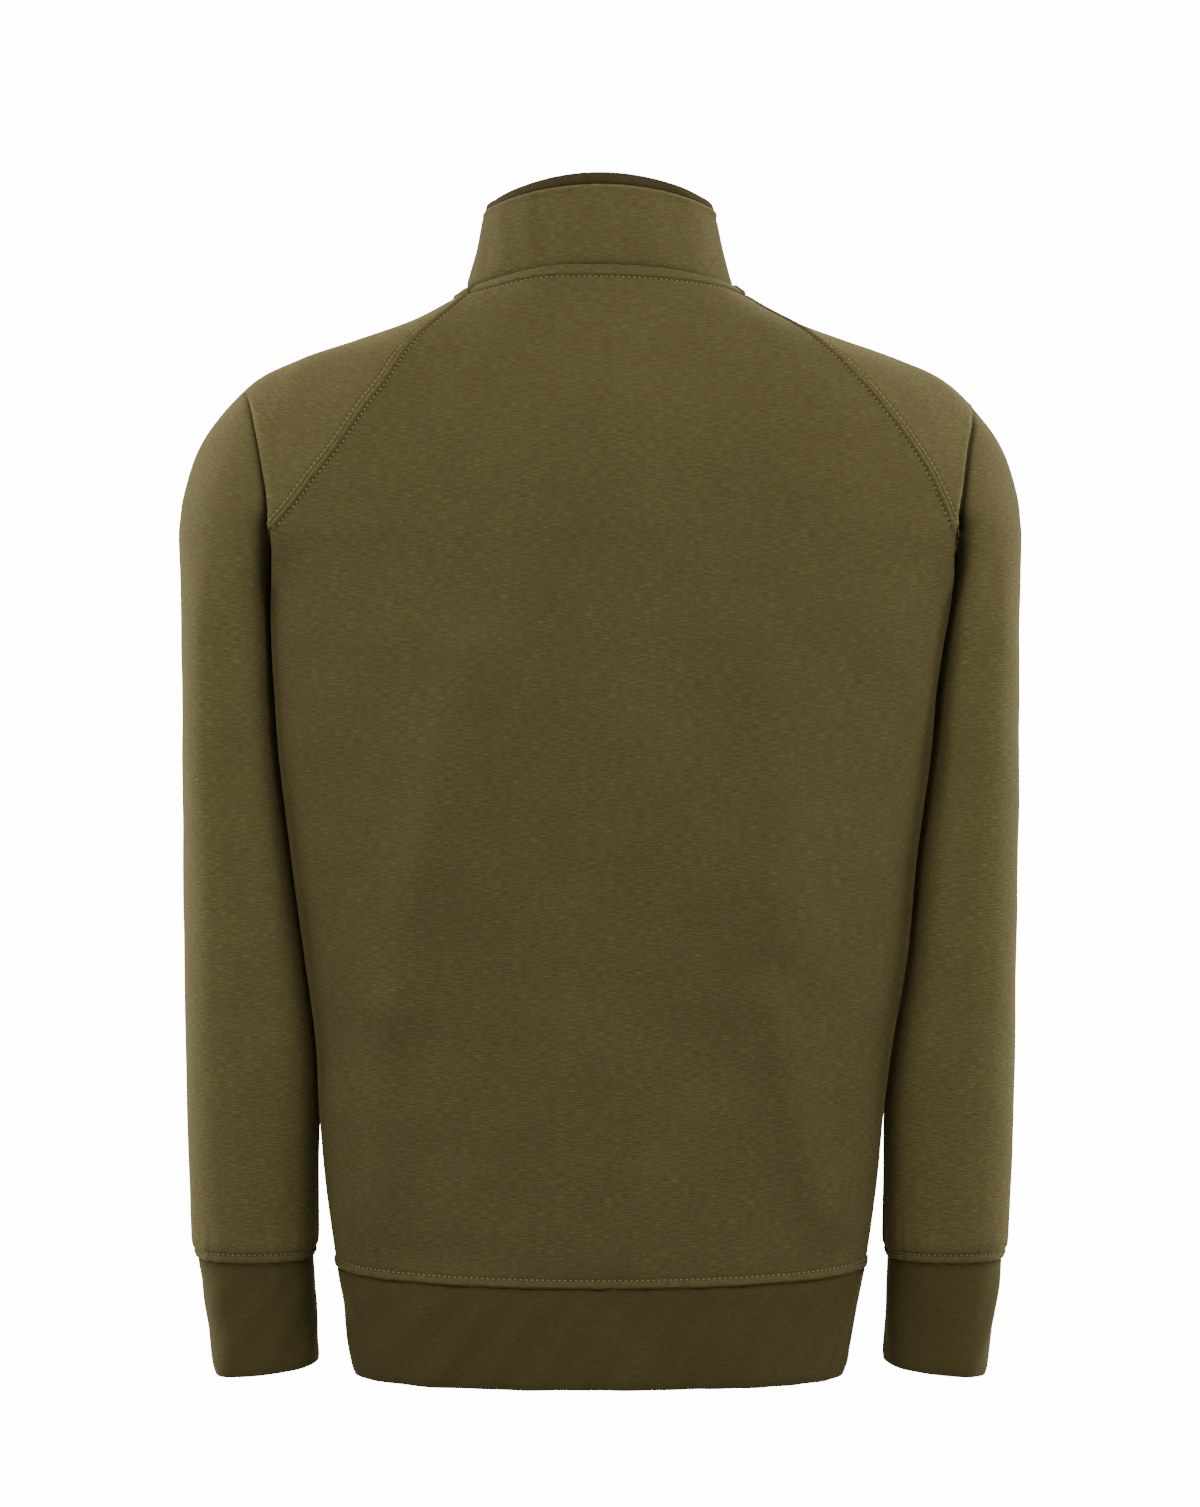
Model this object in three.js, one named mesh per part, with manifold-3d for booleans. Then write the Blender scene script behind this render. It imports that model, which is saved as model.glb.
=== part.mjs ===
// A full-zip sweatshirt with raglan sleeves and a stand collar, filled out as it is when worn.
// Millimetres. +X is the wearer's left, the zip faces -Y, +Z is up.
// The origin is the middle of the neck, at the height of the neck seam where it crosses the shoulders.

import * as THREE from "three";
import { mergeVertices } from "three/addons/utils/BufferGeometryUtils.js";
import Module from "manifold-3d";

const wasm = await Module();
wasm.setup();

// ---------- driving dimensions ----------

const CLOTH = 2.0;             // thickness of the brushed sweatshirt jersey
const RIB = 2.4;               // the hem band and the cuffs are folded double and are thicker
const SEAM_GAP = 0.3;          // clearance between two pieces at a seam
const ARMPIT_Z = -156;         // where the raglan seams end and the sleeves part from the body
const ARMHOLE_DROP = 30;       // how far the armhole curves down below that, in its middle
const ARMHOLE_FADE = 120;      // height over which the rows under it lose that curve
const UNDERARM_Y = -5;         // the side seam and the underarm seam meet here
const SEAM_ANGLE = -2.5;       // where the side seam lies on the body's rings, in degrees
const BODY_CORNER_ANGLE = 25;  // where the armhole's ends lie on the body's rings
const SLEEVE_CORNER_ANGLE = 165; // and on the sleeve's rings
const JOIN_LENGTH = 75;        // height over which the yoke's form turns into the tubes below
const BODY_END_Z = -621.6;     // the hem seam at the sides
const HEM_SEAM_SAG = 5.5;      // the hem seam hangs this much lower at the centre back
const HEM_END_Z = -690.5;      // the lower edge of the hem band
const HEM_GAP = 0.4;           // clearance over the hem band and the cuffs
const SLEEVE_PUFF_Z = -609;    // from here the sleeve draws in to its cuff
const SLEEVE_END_Z = -619;     // the cuff seam
const CUFF_END_Z = -691;       // the lower edge of the cuffs
const CUFF_INSET = 3.4;        // the sleeve is wider than its cuff and overhangs it
const CUFF_TILT = 4;           // the lower edge hangs this much lower outside, and higher inside
const ZIP_EDGE = 4.6;          // from the centre front to the edge of each front panel
const CHAIN_HALF = 3.0;        // half the width of the closed teeth
const CHAIN_THICK = 2.0;
const CHAIN_DEPTH = 0.2;       // the teeth lie this far under the face of the fronts
const TAPE_INNER = 1.5;        // each tape runs from here
const TAPE_OUTER = 13;         // to here, under the front panel
const TAPE_DEPTH = 2.5;
const TAPE_THICK = 0.9;
const COLLAR_PLY_SETBACK = 0.7; // the inner collar's edges stand back from the zip by this much

const CHAIN_TOP = 0.87;        // the teeth end here on the collar, under the slider's post
const TAPE_TOP = 0.92;         // and the tapes here, between the collar's plies
const BAND_TAPE_DEPTH = 2.9;   // the tapes' depth behind the hem band
const CHAIN_FIRST_ROW = 2;     // and start at this row of the hem band, over the box
const SLIDER_PLACE = 0.87;     // the slider's middle, on the collar's height
const SLIDER_TOP = 6.8;        // its ends, its half widths and its plates
const SLIDER_BOTTOM = -6.2;
const SLIDER_HEAD = 4.5;
const SLIDER_FOOT = 3.6;
const SLIDER_TAPER = 4;        // its foot widens over this length, and its head is round over the next
const SLIDER_ROUND = 2.5;
const SLIDER_PLATE = 1.4;
const REAR_PLATE = 1;
const SLIDER_FRONT = 0.5;      // clearance over the cloth's face
const SLIDER_REAR = 3.8;       // the rear plate's face, behind the tapes
const SLIDER_SINK = 0.5;       // how far the post, flanges and bail run into the plates
const POST_HALF = 0.9;         // the post between the two rows of teeth: half width, then its ends
const POST_TOP = 4.8;
const POST_BOTTOM = 1.8;
const FLANGE_INNER = 3.4;      // the flanges beside the teeth: their sides, depth and ends
const FLANGE_OUTER = 4.2;
const FLANGE_DEPTH = 1.8;
const FLANGE_TOP = 3.8;
const FLANGE_BOTTOM = -1.7;
const PLATE_FACE = -SLIDER_FRONT - SLIDER_PLATE;
const PLATE_BEVEL = 0.2;       // the softened edges of stamped metal
const BAIL_BOTTOM = -4.6;      // the bail on the front plate: its foot, length, thickness and eye
const BAIL_LENGTH = 8.6;
const BAIL_THICK = 1.4;
const BAIL_HALF = 1.1;
const BAIL_DEPTH = 2.4;
const HINGE_RISE = 1.2;        // the pull tab's hinge, over the foot of the bail's eye
const HINGE_Z = BAIL_BOTTOM + BAIL_THICK + HINGE_RISE;
const PULL_LENGTH = 27;        // the pull tab, from its hinge to its end
const PULL_HALF = 3.5;
const PULL_THICK = 1.4;
const PULL_WINDOW_HALF = 1.7;
const PULL_WINDOW_END = 7.4;
const PULL_HOLE_RADIUS = 1.5;
const BOX_HALF = 4.1;          // the box at the zip's foot
const BOX_BOTTOM = -689.3;
const BOX_TOP = -679.6;
const BOX_PROUD = 0.5;         // it stands proud of the band's face by this much
const BOX_PLACE = 0.9;         // that face is measured at this share of the band's height

// The yoke is a set of rings round the neck. Each row is one ring, from the neck seam (at = 0) to
// the armpit (at = 1): its half width and height on the shoulder line, its depth and height at the
// centre back and the centre front, and how square it is.
const yokeRings = table(
  ["at", "sideX", "sideZ", "backY", "backZ", "frontY", "frontZ", "square"],
  [
    [0.00, 86.5, -1, 62, 8, 60, -60, 2.0],
    [0.05, 95, -7, 66, 0.5, 66, -66, 2.05],
    [0.16, 120, -20, 73, -18, 76, -76, 2.15],
    [0.29, 155, -32.5, 82, -42, 88, -89, 2.3],
    [0.42, 190, -45, 90, -68, 98, -102, 2.5],
    [0.54, 218, -58, 95, -92, 104, -114, 2.7],
    [0.65, 239, -77.5, 98, -113, 108, -125, 2.85],
    [0.77, 256, -103, 99.5, -131, 110, -136, 3.0],
    [0.89, 265, -133, 100, -146, 111, -147, 3.1],
    [1.00, 267.5, ARMPIT_Z, 100.5, ARMPIT_Z, 112, ARMPIT_Z, 3.2],
  ],
);

// The raglan seams, as the angle of each seam on the yoke's rings, in degrees from the shoulder line.
const raglanSeams = table(
  ["at", "backLeft", "backRight", "frontLeft", "frontRight"],
  [
    [0.00, 22, 12, 25, 24],
    [0.05, 26, 13.5, 28, 27],
    [0.16, 35, 18, 34, 33],
    [0.29, 43.5, 32, 41, 39],
    [0.42, 49.5, 40, 45.5, 43],
    [0.54, 51.5, 43, 48, 45],
    [0.65, 52, 44, 49, 46],
    [0.77, 51.5, 44.5, 49, 46],
    [0.89, 50, 44.2, 48.5, 45],
    [1.00, 48, 43.5, 48, 43.5],
  ],
);

// The fold where the sleeve drops behind the body, above each armpit: its foot's distance from the
// middle of the garment and its depth.
const armholeFolds = table(
  ["at", "leftX", "leftDepth", "rightX", "rightDepth"],
  [
    [0.48, 225, 0, 243, 0],
    [0.56, 222, 0.7, 242, 0],
    [0.65, 218, 3.5, 240, 0.5],
    [0.77, 213, 8, 233.5, 5],
    [0.89, 210, 17, 228.5, 14],
    [1.00, 211.6, 36, 228.9, 31],
  ],
);
const FOLD_SLEEVE_SIDE = 16;   // the fold fades out over this length on the sleeve
const FOLD_STEP = 8;           // and drops over this one beside the body, which stands proud
const FRONT_FOLD = 1.25;       // the folds at the front of the armholes are deeper by this much
const DRAPE_END_LENGTH = 0.25; // a drape fold's height fades over this share of its length
const DRAPE_END_START = 0.8;   // and has reached this much of the fade at each end of its line

// The body below the armpits, one row for each height.
const bodyRings = table(
  ["at", "leftX", "rightX", "backY", "frontY", "square"],
  [
    [ARMPIT_Z, 205.5, 222.5, 100.5, 112, 5.0],
    [-206, 207.5, 220, 102, 115, 4.6],
    [-260, 206, 213, 102.5, 117, 4.2],
    [-300, 203.5, 209.5, 102, 117, 3.9],
    [-361, 196.5, 201.5, 100.5, 115, 3.6],
    [-426, 188, 195.5, 98, 111.5, 3.3],
    [-480, 181, 186.5, 96.5, 109, 3.1],
    [-522, 179, 181, 96, 107, 3.0],
    [-570, 175, 176.5, 95.5, 105, 2.85],
    [BODY_END_Z, 168, 169.5, 94, 102, 2.7],
    [-650, 163.8, 164.2, 93, 100.5, 2.65],
    [-675, 160.5, 160.5, 91.5, 99, 2.6],
    [HEM_END_Z, 158, 158, 90, 97.5, 2.6],
  ],
);

// The sleeves below the armpits: outer side, inner side on each arm, back, front, and how square
// the ring is. Its inner half lies flat against the body and is squarer.
const armRings = table(
  ["at", "outerX", "leftInnerX", "rightInnerX", "backY", "frontY", "square", "innerSquare"],
  [
    [ARMPIT_Z, 267.5, 208.2, 225.2, 64, -74, 2.4, 2.6],
    [-206, 268, 210.2, 222.7, 66, -76, 2.4, 3.0],
    [-260, 268, 208.7, 215.7, 64, -76, 2.4, 3.4],
    [-300, 268, 205.6, 212.2, 62, -75, 2.4, 3.7],
    [-361, 267.5, 197.9, 204.2, 59, -73, 2.35, 3.8],
    [-426, 267, 189.3, 197.6, 54, -70, 2.3, 3.7],
    [-480, 266, 182.4, 188.6, 49, -67, 2.3, 3.5],
    [-522, 265, 180.9, 183.6, 45, -64, 2.25, 3.0],
    [-570, 263, 181.5, 182.5, 41, -61, 2.2, 2.6],
    [SLEEVE_END_Z, 260, 181, 181.5, 38, -58, 2.2, 2.3],
    [CUFF_END_Z, 251, 177, 178.5, 33, -53, 2.2, 2.2],
  ],
);

// The stand collar, from the neck seam to its top edge. The inner ply goes on above the outer one
// and rolls over the top.
const collarRings = table(
  ["at", "sideX", "sideZ", "backY", "backZ", "frontY", "frontZ", "square"],
  [
    [0.00, 86.0, -0.5, 61.6, 8.5, 59.6, -59.5, 2.0],
    [0.25, 82.4, 13.5, 60.8, 21, 61.5, -42, 2.0],
    [0.50, 79.2, 25.5, 59.2, 34, 62.5, -24, 2.0],
    [0.75, 76.6, 37.5, 57.2, 46.5, 63.0, -7, 2.0],
    [1.00, 74.5, 48, 55.3, 59, 62.5, 10, 2.0],
    [1.15, 73.6, 52.5, 54.6, 66.5, 62.0, 15, 2.0],
  ],
);

// Broad soft folds of the hanging cloth: a ridge along a line on the back or the front.
const drapeFolds = table(
  ["face", "fromX", "fromZ", "toX", "toZ", "width", "height"],
  [
    [1, 77, -235, 134, -455, 20, 3.2],
    [1, 134, -455, 140, -600, 18, 2.2],
    [1, -104, -450, -141, -590, 16, 2.6],
    [1, -95, -215, -120, -420, 24, 1.8],
    [-1, 84, -215, 110, -430, 22, 2.8],
    [-1, -92, -230, -122, -470, 20, 2.8],
  ],
);

// Rows and columns of the cloth grids: places on the yoke, then depths under the armpits.
const YOKE_ROWS = [0, 0.05, 0.15, 0.28, 0.41, 0.53, 0.64, 0.74, 0.83, 0.9, 0.955, 1];
const ARMHOLE_ROWS = [0, 16, 36, 64, 102, 150, 210, 280, 350, 412];
const BODY_DEPTHS = [...ARMHOLE_ROWS, ARMPIT_Z - BODY_END_Z];
const SLEEVE_DEPTHS = [...ARMHOLE_ROWS, ARMPIT_Z - SLEEVE_PUFF_Z, 459, ARMPIT_Z - SLEEVE_END_Z];
const BACK_COLUMNS = 16;
const FRONT_COLUMNS = 9;
const SLEEVE_COLUMNS = 14;
const SLEEVE_EDGE_WIDTH = 9;   // its first and last column, in which it drops behind the body
const SIDE_COLUMNS = 3;        // on each side wall, between the armhole's end and the side seam
const COLLAR_COLUMNS = 36;
const HEM_COLUMNS = 32;
const CUFF_COLUMNS = 18;
const EDGE_STEP = 1;           // the cloth's direction at an edge is measured over this much each way
const PAST_EDGE = 4;           // and how far past a lower edge
const BESIDE_SEAM = 0.1;       // and, at a side seam, over this share of a column
const ANGLE_STEP = 1e-3;       // a seam's slant is measured over this angle along a ring
const RING_STEP = 0.01;        // and over this step from ring to ring

// Rows of the smaller pieces. The first and last of each only show how the cloth goes on.
const outerCollarRows = [-0.1, 0, 0.33, 0.66, 1, 1.1];
const innerCollarRows = table(
  ["at", "depth"],
  [
    [-0.1, 3.7],
    [0.02, 3.7],
    [0.5, 3.7],
    [0.92, 3.7],
    [1, 2.8],
    [1.045, 0.9],
    [1.15, 0.8],
    [1.25, 0.8],
  ],
);
const hemRows = table(
  ["share", "inset"],
  [
    [-0.1, 0],
    [0, 0],
    [0.4, 0],
    [0.8, 0],
    [0.95, 0.3],
    [1, 1.3],
    [1.04, 2.2],
  ],
);
const cuffRows = table(
  ["share", "inset"],
  [
    [-0.1, 0],
    [0, 0],
    [0.5, 0],
    [0.95, 0.2],
    [1, 1.2],
    [1.04, 2.1],
  ],
);

// ---------- finishes ----------

const COLOURS = { jersey: 0x5a5130, rib: 0x4b4226, tape: 0x3d3720, teeth: 0x40391f, metal: 0x6d6a5c };

function finish(colour, roughness, metalness) {
  return new THREE.MeshStandardMaterial({ color: colour, roughness, metalness });
}

// ---------- small helpers ----------

function table(columns, rows) {
  return rows.map((row) => Object.fromEntries(columns.map((name, k) => [name, row[k]])));
}

function lerp(a, b, t) {
  return a + (b - a) * t;
}

function ease(t) {
  const u = Math.min(Math.max(t, 0), 1);
  return u * u * (3 - 2 * u);
}

function radians(degrees) {
  return (degrees * Math.PI) / 180;
}

// A column of a table at any place, as a smooth curve through the rows (cubic Hermite).
function smooth(rows, column, at) {
  const flip = rows[rows.length - 1].at < rows[0].at ? -1 : 1;
  let k = 0;
  while (k < rows.length - 2 && flip * (at - rows[k + 1].at) >= 0) k += 1;
  const slope = (i) => {
    const before = rows[Math.max(i - 1, 0)];
    const after = rows[Math.min(i + 1, rows.length - 1)];
    return (after[column] - before[column]) / (after.at - before.at);
  };
  const [p, q] = [rows[k], rows[k + 1]];
  const step = q.at - p.at;
  const t = (at - p.at) / step;
  if (t < 0) return p[column] + slope(k) * (at - p.at);
  if (t > 1) return q[column] + slope(k + 1) * (at - q.at);
  return (2 * t ** 3 - 3 * t ** 2 + 1) * p[column] + (t ** 3 - 2 * t ** 2 + t) * step * slope(k)
    + (3 * t ** 2 - 2 * t ** 3) * q[column] + (t ** 3 - t ** 2) * step * slope(k + 1);
}

// A point of a superellipse in plan: half widths, depth and squareness.
function ringPoint(halfX, halfY, square, angle) {
  const c = Math.cos(angle);
  const s = Math.sin(angle);
  const q = (Math.abs(c) ** square + Math.abs(s) ** square) ** (1 / square);
  return [(halfX * c) / q, (halfY * s) / q, Math.abs(s) / q];
}

// Angles between two limits at which a curve's points are evenly spaced along it, apart from a
// first and last column of their own width, where one is given.
function evenAngles(curve, first, last, count, edgeWidth) {
  const FINE = 240;
  const angles = Array.from({ length: FINE + 1 }, (_, k) => lerp(first, last, k / FINE));
  const points = angles.map(curve);
  const along = [0];
  for (let k = 1; k <= FINE; k += 1) along.push(along[k - 1] + points[k].distanceTo(points[k - 1]));
  const total = along[FINE];
  const placeOf = (i) => {
    if (!edgeWidth || i === 0 || i === count) return (total * i) / count;
    return lerp(edgeWidth, total - edgeWidth, (i - 1) / (count - 2));
  };
  const even = [];
  let k = 0;
  for (let i = 0; i <= count; i += 1) {
    const wanted = placeOf(i);
    while (k < FINE - 1 && along[k + 1] < wanted) k += 1;
    const part = (wanted - along[k]) / Math.max(along[k + 1] - along[k], 1e-9);
    even.push(lerp(angles[k], angles[k + 1], part));
  }
  even[count] = last;
  return even;
}

// The angle at a place between two columns, or a little past the first or last.
function angleAt(angles, column) {
  const k = Math.min(Math.max(Math.floor(column), 0), angles.length - 2);
  return lerp(angles[k], angles[k + 1], column - k);
}

// The point as far beyond an edge as another lies before it.
function beyond(edge, near) {
  return edge.clone().multiplyScalar(2).sub(near);
}

// One row of a grid: a point for each column, and one beyond each edge in the cloth's direction there.
function rowOfPoints(columns, pointAt) {
  const row = Array.from({ length: columns + 1 }, (_, k) => pointAt(k));
  const past = (edge, inwards) => {
    const step = (inwards * EDGE_STEP) / row[edge].distanceTo(row[edge + inwards]);
    return row[edge].clone().add(pointAt(edge - step)).sub(pointAt(edge + step));
  };
  return [past(0, 1), ...row, past(columns, -1)];
}

// ---------- the garment's form ----------

// How far the armhole fold and the drape folds move the cloth, towards the back.
function foldShift(at, x, face) {
  const side = x >= 0 ? "left" : "right";
  if (at < armholeFolds[0].at) return 0;
  const depth = Math.max(smooth(armholeFolds, `${side}Depth`, Math.min(at, 1)), 0);
  const off = Math.abs(x) - smooth(armholeFolds, `${side}X`, Math.min(at, 1));
  const fade = off > 0 ? Math.exp(-off / FOLD_SLEEVE_SIDE) : ease(1 + off / FOLD_STEP);
  return -face * depth * fade * (face < 0 ? FRONT_FOLD : 1);
}

function drapeShift(x, z, face) {
  let shift = 0;
  for (const fold of drapeFolds) {
    const run = [fold.toX - fold.fromX, fold.toZ - fold.fromZ];
    const length = Math.hypot(...run);
    const along = ((x - fold.fromX) * run[0] + (z - fold.fromZ) * run[1]) / length ** 2;
    const across = ((x - fold.fromX) * run[1] - (z - fold.fromZ) * run[0]) / length;
    const rise = (distance) => ease(distance / DRAPE_END_LENGTH + DRAPE_END_START);
    const ends = rise(along) * rise(1 - along);
    if (face === fold.face) shift += face * fold.height * ends * Math.exp(-((across / fold.width) ** 2));
  }
  return shift;
}

// The yoke at ring `at` and an angle: 0 on the left shoulder, 90 degrees at the centre back.
function yokePoint(at, angle) {
  const face = Math.sin(angle) >= 0 ? 1 : -1;
  const end = face > 0 ? "back" : "front";
  const square = smooth(yokeRings, "square", at);
  const depth = smooth(yokeRings, `${end}Y`, at);
  const [x, y, share] = ringPoint(smooth(yokeRings, "sideX", at), depth, square, angle);
  const sideZ = smooth(yokeRings, "sideZ", at);
  const z = lerp(sideZ, smooth(yokeRings, `${end}Z`, at), share ** 2);
  return new THREE.Vector3(x, y + foldShift(at, x, face) + drapeShift(x, z, face), z);
}

// The body's ring at height z.
function bodyPoint(z, angle) {
  const face = Math.sin(angle) >= 0 ? 1 : -1;
  const halfX = smooth(bodyRings, Math.cos(angle) >= 0 ? "leftX" : "rightX", z);
  const halfY = smooth(bodyRings, face > 0 ? "backY" : "frontY", z);
  const [x, y] = ringPoint(halfX, halfY, smooth(bodyRings, "square", z), angle);
  return new THREE.Vector3(x, y + drapeShift(x, z, face), z);
}

// The arm's ring at height z: 0 degrees is its outer side, 90 the back. `grow` widens the ring.
function armPoint(side, z, angle, grow = 0) {
  const outer = smooth(armRings, "outerX", z) + grow;
  const inner = smooth(armRings, side > 0 ? "leftInnerX" : "rightInnerX", z) - grow;
  const back = smooth(armRings, "backY", z) + grow;
  const front = smooth(armRings, "frontY", z) - grow;
  const square = smooth(armRings, Math.cos(angle) >= 0 ? "square" : "innerSquare", z);
  const [x, y] = ringPoint((outer - inner) / 2, (back - front) / 2, square, angle);
  return new THREE.Vector3(side * ((outer + inner) / 2 + x), (back + front) / 2 + y, z);
}

function collarPoint(at, angle) {
  const end = Math.sin(angle) >= 0 ? "back" : "front";
  const depth = smooth(collarRings, `${end}Y`, at);
  const [x, y, share] = ringPoint(smooth(collarRings, "sideX", at), depth, 2, angle);
  const z = lerp(smooth(collarRings, "sideZ", at), smooth(collarRings, `${end}Z`, at), share ** 2);
  return new THREE.Vector3(x, y, z);
}

// The sleeve draws in to its cuff over the last few millimetres.
function cuffDraw(z) {
  return -CUFF_INSET * ease((SLEEVE_PUFF_Z - z) / (SLEEVE_PUFF_Z - SLEEVE_END_Z));
}

// The cloth's share of the way from the yoke's form to the tube's form at height z.
function joined(z) {
  return ease((ARMPIT_Z - z) / JOIN_LENGTH);
}

// How much lower the hem seam, and the rows near it, hang at the centre than at the sides.
function hemSag(z, angle) {
  const share = Math.max((ARMPIT_Z - z) / (ARMPIT_Z - BODY_END_Z), 0);
  return HEM_SEAM_SAG * Math.min(share, 1) ** 4 * Math.sin(angle) ** 2;
}

// ---------- from a grid of points to a closed wall ----------

// `points` is a grid with one row and one column more on every side than the cloth has, which
// only serve to measure the cloth's direction. `present(row, column)` says which cells are cloth.
// The wall lies `depth(row)` under the grid and is `thickness` thick. `turn` is 1 or -1, whichever
// makes the grid's normals point out of the garment. A `loop` closes on itself along its rows.
function wallGeometry(points, { thickness, turn, depth = () => 0, present = () => true, loop = false }) {
  const rows = points.length - 3;
  const columns = points[0].length - 3;
  const wrap = (j) => (loop ? (j + columns) % columns : j);
  const cell = (i, j) => i >= 0 && i < rows && (loop || (j >= 0 && j < columns)) && present(i, wrap(j));
  const used = (i, j) => cell(i, j) || cell(i - 1, j) || cell(i, j - 1) || cell(i - 1, j - 1);
  const unit = (from, to) => to.clone().sub(from).normalize();
  // The cloth's direction through `here`: its own at an edge that has a point beyond it, else
  // halfway between its directions on both sides.
  const direction = (before, here, after, clothBefore, clothAfter) => {
    if (!clothBefore && before) return unit(before, here);
    if (!clothAfter && after) return unit(here, after);
    const sum = new THREE.Vector3();
    if (before) sum.add(unit(before, here));
    if (after) sum.add(unit(here, after));
    return sum;
  };
  const normalAt = (i, j) => {
    const here = points[i + 1][j + 1];
    const above = cell(i - 1, j) || cell(i - 1, j - 1);
    const below = cell(i, j) || cell(i, j - 1);
    const left = cell(i, j - 1) || cell(i - 1, j - 1);
    const right = cell(i, j) || cell(i - 1, j);
    const alongRow = direction(points[i + 1][j], here, points[i + 1][j + 2], left, right);
    const over = above || i === 0 ? points[i][j + 1] : undefined;
    const under = below || i === rows ? points[i + 2][j + 1] : undefined;
    const alongColumn = direction(over, here, under, above, below);
    return alongRow.cross(alongColumn).normalize().multiplyScalar(turn);
  };
  const position = [];
  const vertexOf = new Map();
  for (let i = 0; i <= rows; i += 1) {
    for (let j = 0; j <= (loop ? columns - 1 : columns); j += 1) {
      if (used(i, j)) {
        const normal = normalAt(i, j);
        const outer = points[i + 1][j + 1].clone().addScaledVector(normal, -depth(i));
        const inner = outer.clone().addScaledVector(normal, -thickness);
        vertexOf.set(`${i},${j}`, position.length / 3);
        position.push(...outer.toArray(), ...inner.toArray());
      }
    }
  }
  const vertex = (i, j) => vertexOf.get(`${i},${wrap(j)}`);
  const faces = [];
  const quad = (a, b, c, d) => {
    if (turn > 0) faces.push(a, b, c, a, c, d);
    else faces.push(a, c, b, a, d, c);
  };
  for (let i = 0; i < rows; i += 1) {
    for (let j = 0; j < columns; j += 1) {
      if (cell(i, j)) {
        const [a, b, c, d] = [vertex(i, j), vertex(i, j + 1), vertex(i + 1, j + 1), vertex(i + 1, j)];
        quad(a, b, c, d);
        quad(a + 1, d + 1, c + 1, b + 1);
        if (!cell(i - 1, j)) quad(a, a + 1, b + 1, b);
        if (!cell(i + 1, j)) quad(c, c + 1, d + 1, d);
        if (!cell(i, j - 1)) quad(d, d + 1, a + 1, a);
        if (!cell(i, j + 1)) quad(b, b + 1, c + 1, c);
      }
    }
  }
  const geometry = new THREE.BufferGeometry();
  geometry.setAttribute("position", new THREE.Float32BufferAttribute(position, 3));
  geometry.setIndex(faces);
  return geometry;
}

// ---------- body and sleeves ----------

const ARMPIT_ROW = YOKE_ROWS.length - 1;

// The ring of the yoke that a grid row lies on, with one row beyond the neck seam.
function yokeAt(row) {
  return row < 0 ? 2 * YOKE_ROWS[0] - YOKE_ROWS[1] : YOKE_ROWS[Math.min(row, ARMPIT_ROW)];
}

// The height of a row below the armpits. Near the armhole the rows follow its curve: `share` is 0
// at the side seam and 1 at the armhole's end.
function tubeHeight(depths, tubeRow, share) {
  const last = depths.length - 1;
  const past = Math.max(tubeRow - last, 0) * PAST_EDGE;
  const level = ARMPIT_Z - depths[Math.min(tubeRow, last)] - past;
  const drop = ARMHOLE_DROP * Math.sqrt(Math.max(1 - share ** 2, 0));
  return level - drop * (1 - ease((ARMPIT_Z - level) / ARMHOLE_FADE));
}

// One grid row of a piece. `piece` gives its yoke curve and tube curve with their limits, and
// whether a side wall lies before its first and after its last main column.
function pieceRow(piece, row) {
  const at = yokeAt(row);
  const yokeCurve = (angle) => piece.yoke(at, angle);
  const yokeAngles = evenAngles(yokeCurve, ...seamLimits(piece, at), piece.columns, piece.edgeWidth);
  if (row < ARMPIT_ROW) {
    const above = rowOfPoints(piece.columns, (k) => yokeCurve(angleAt(yokeAngles, k)));
    const padding = piece.walls.map((wall) => new Array(wall ? SIDE_COLUMNS : 0).fill(above[0]));
    return [...padding[0], ...above, ...padding[1]];
  }

  const tubeRow = row - ARMPIT_ROW;
  const level = tubeHeight(piece.depths, tubeRow, 1);
  const tubeCurve = (angle) => piece.tube(level, angle);
  const tubeAngles = evenAngles(tubeCurve, ...piece.tubeLimits(level), piece.columns, piece.edgeWidth);
  const main = rowOfPoints(piece.columns, (k) => {
    const angle = angleAt(tubeAngles, k);
    const z = level - piece.sag(level, angle);
    return yokeCurve(angleAt(yokeAngles, k)).setZ(z).lerp(piece.tube(z, angle), joined(level));
  });
  const walls = piece.walls.map((wall, end) => {
    if (!wall) return [];
    const corner = yokeCurve(yokeAngles[end * piece.columns]);
    const side = sideWall(piece, tubeRow, end, corner, piece.tubeLimits(level)[end]);
    return end === 0 ? side : side.reverse();
  });
  const first = piece.walls[0] ? 1 : 0;
  const last = piece.walls[1] ? -1 : undefined;
  return [...walls[0], ...main.slice(first, last), ...walls[1]];
}

// The wall under the armhole, from just past the side seam up to, but without, its corner.
function sideWall(piece, tubeRow, end, corner, cornerAngle) {
  const seamAngle = piece.seamAngles[end];
  const points = [];
  for (const k of [BESIDE_SEAM, ...Array(SIDE_COLUMNS).keys()]) {
    const share = k / SIDE_COLUMNS;
    const angle = lerp(seamAngle, cornerAngle, share);
    const level = tubeHeight(piece.depths, tubeRow, 1);
    const z = tubeHeight(piece.depths, tubeRow, share) - piece.sag(level, angle);
    const seamY = UNDERARM_Y + (Math.sign(corner.y) * SEAM_GAP) / 2;
    const straight = new THREE.Vector3(
      corner.x + (piece.outward[end] * (1 - share) * SEAM_GAP) / 2,
      lerp(seamY, corner.y, share),
      z,
    );
    points.push(straight.lerp(piece.tube(z, angle), joined(z)));
  }
  points[0] = beyond(points[1], points[0]);
  return points;
}

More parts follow.
